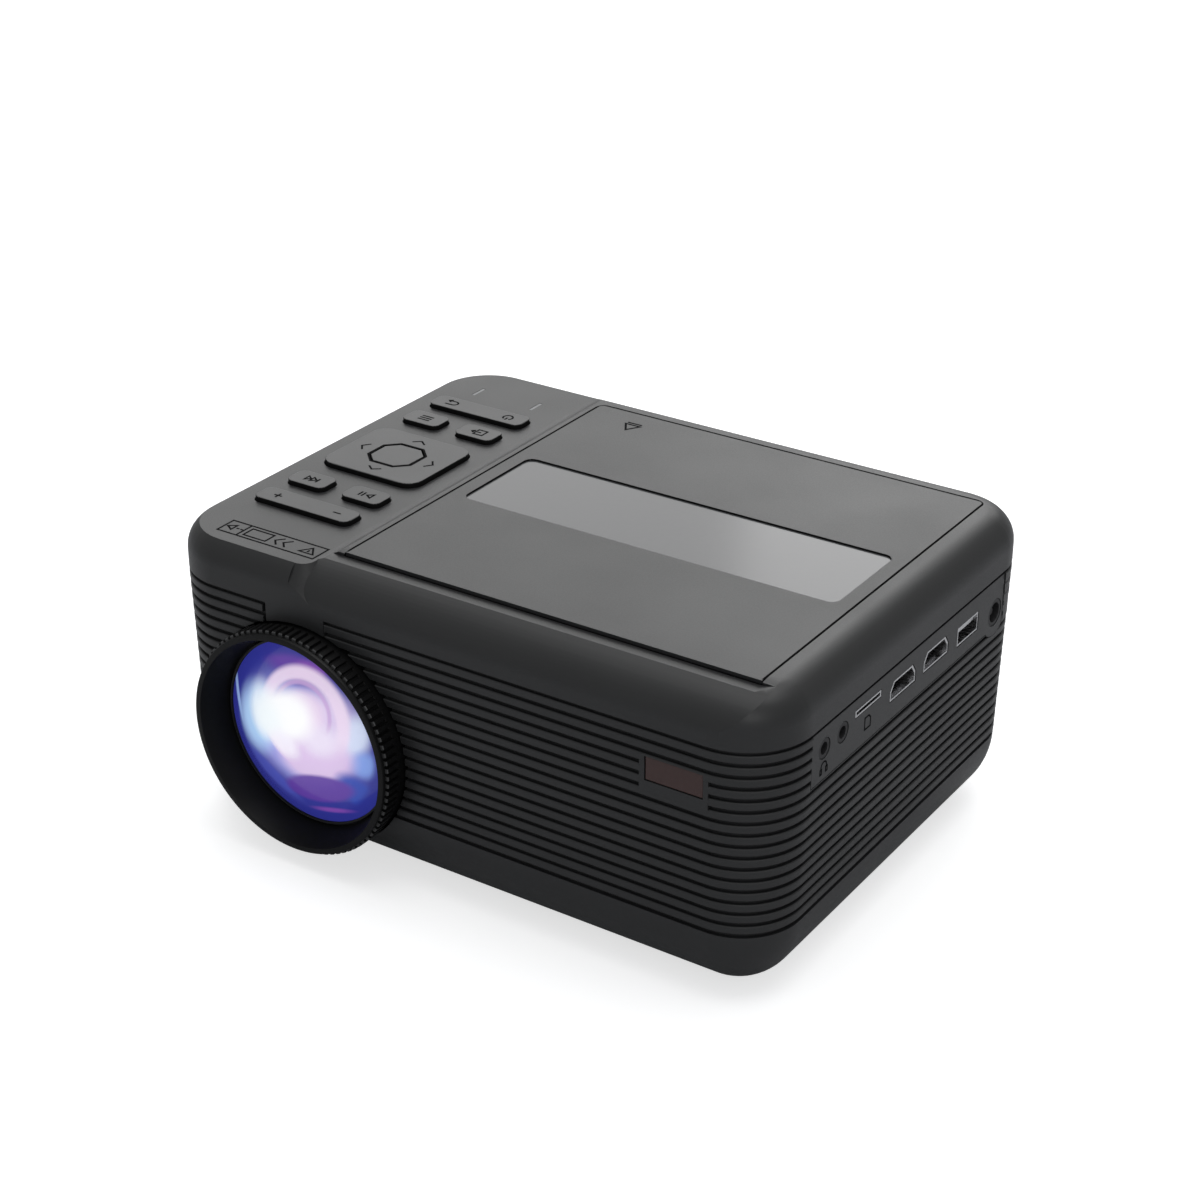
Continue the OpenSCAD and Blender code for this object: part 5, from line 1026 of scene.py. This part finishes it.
blade_shape.faces.new(blade_rows[-1][::-1])
blades = grown_piece("fan_blades", circle_tree, bpy.data.meshes.new("no_host"),
                     closed_mesh("fan_blade", blade_shape), finishes["dark_plastic"],
                     Count=blade_count, Radius=nearly_no_radius, Centre=(lens_x, 0, lens_z))
hand_over(blades, "dark_plastic", body_of["fan_rotor"])
hand_over(hub, "dark_plastic", body_of["fan_rotor"], "fan_rotor")

# %% [markdown]
# ## The case screws
# The screws sit deep in their bores. The head has a cross recess and the shank a coarse thread for plastic,
# drawn as ridges, because a true helix wouldn't show. One screw is built, and the tree for given points
# puts it in the four bores.

# %% One screw
screws_low, screws_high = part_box("case_screws")
head_r, head_h, head_bevel, shank_r = 2.3, 2.2, 0.3, 1.25
ridge, ridge_depth, valley_at, crest_at = 0.9, 0.22, 0.35, 0.8
point_h, point_bevel, screw_steps = 1.5, 0.3, 24
shank_h = (screws_high.z - screws_low.z) / mm
outline = [(head_r - head_bevel, 0), (head_r, head_bevel), (head_r, head_h), (shank_r, head_h)]
for k in range(int((shank_h - head_h - point_h) / ridge)):
    outline += [(shank_r - ridge_depth, head_h + valley_at + ridge * k),
                (shank_r, head_h + crest_at + ridge * k)]
outline += [(shank_r - point_bevel, shank_h)]
screw_shape = bmesh.new()
rows = [[screw_shape.verts.new((r * mm * math.cos(a), r * mm * math.sin(a), z * mm))
         for a in (2 * math.pi * k / screw_steps for k in range(screw_steps))] for r, z in outline]
for first, second in zip(rows, rows[1:]):
    band(screw_shape, first, second)
screw_shape.faces.new(rows[-1])
print("screw", round(shank_h, 1), "mm long,", len(outline), "rows")

# %% Cross recess
long_half, short_half, recess_h, recess_taper = 1.3, 0.3, 1.1, 0.7
level_gap = 0.01 * mm
arm = [(short_half, long_half), (short_half, short_half), (long_half, short_half)]
cross = (arm + [(x, -y) for x, y in reversed(arm)] + [(-x, -y) for x, y in arm]
         + [(-x, y) for x, y in reversed(arm)])
mouth = [screw_shape.verts.new((x * mm, y * mm, 0)) for x, y in cross]
recess_floor = [screw_shape.verts.new((x * recess_taper * mm, y * recess_taper * mm, recess_h * mm))
                for x, y in cross]
band(screw_shape, mouth, recess_floor)
screw_shape.faces.new(recess_floor)
rim_edges = [edge for edge in screw_shape.edges
             if len(edge.link_faces) == 1 and all(v.co.z < level_gap for v in edge.verts)]
bmesh.ops.triangle_fill(screw_shape, edges=rim_edges, use_beauty=True)
screw = closed_mesh("case_screw", screw_shape)
print("screw", len(screw.polygons), "faces")

# %% Screws in their bores
post_places = [(-86.0, -58.0), (86.0, -58.0), (-84.0, 68.5), (84.0, 68.5)]
posts = bpy.data.meshes.new("screw_places")
posts.from_pydata([(x * mm, y * mm, screws_low.z) for x, y in post_places], [], [])
screws = grown_piece("cross_head_screws", point_tree, posts, screw, finishes["steel"])
hand_over(screws, "steel", body_of["case_screws"], "case_screws")
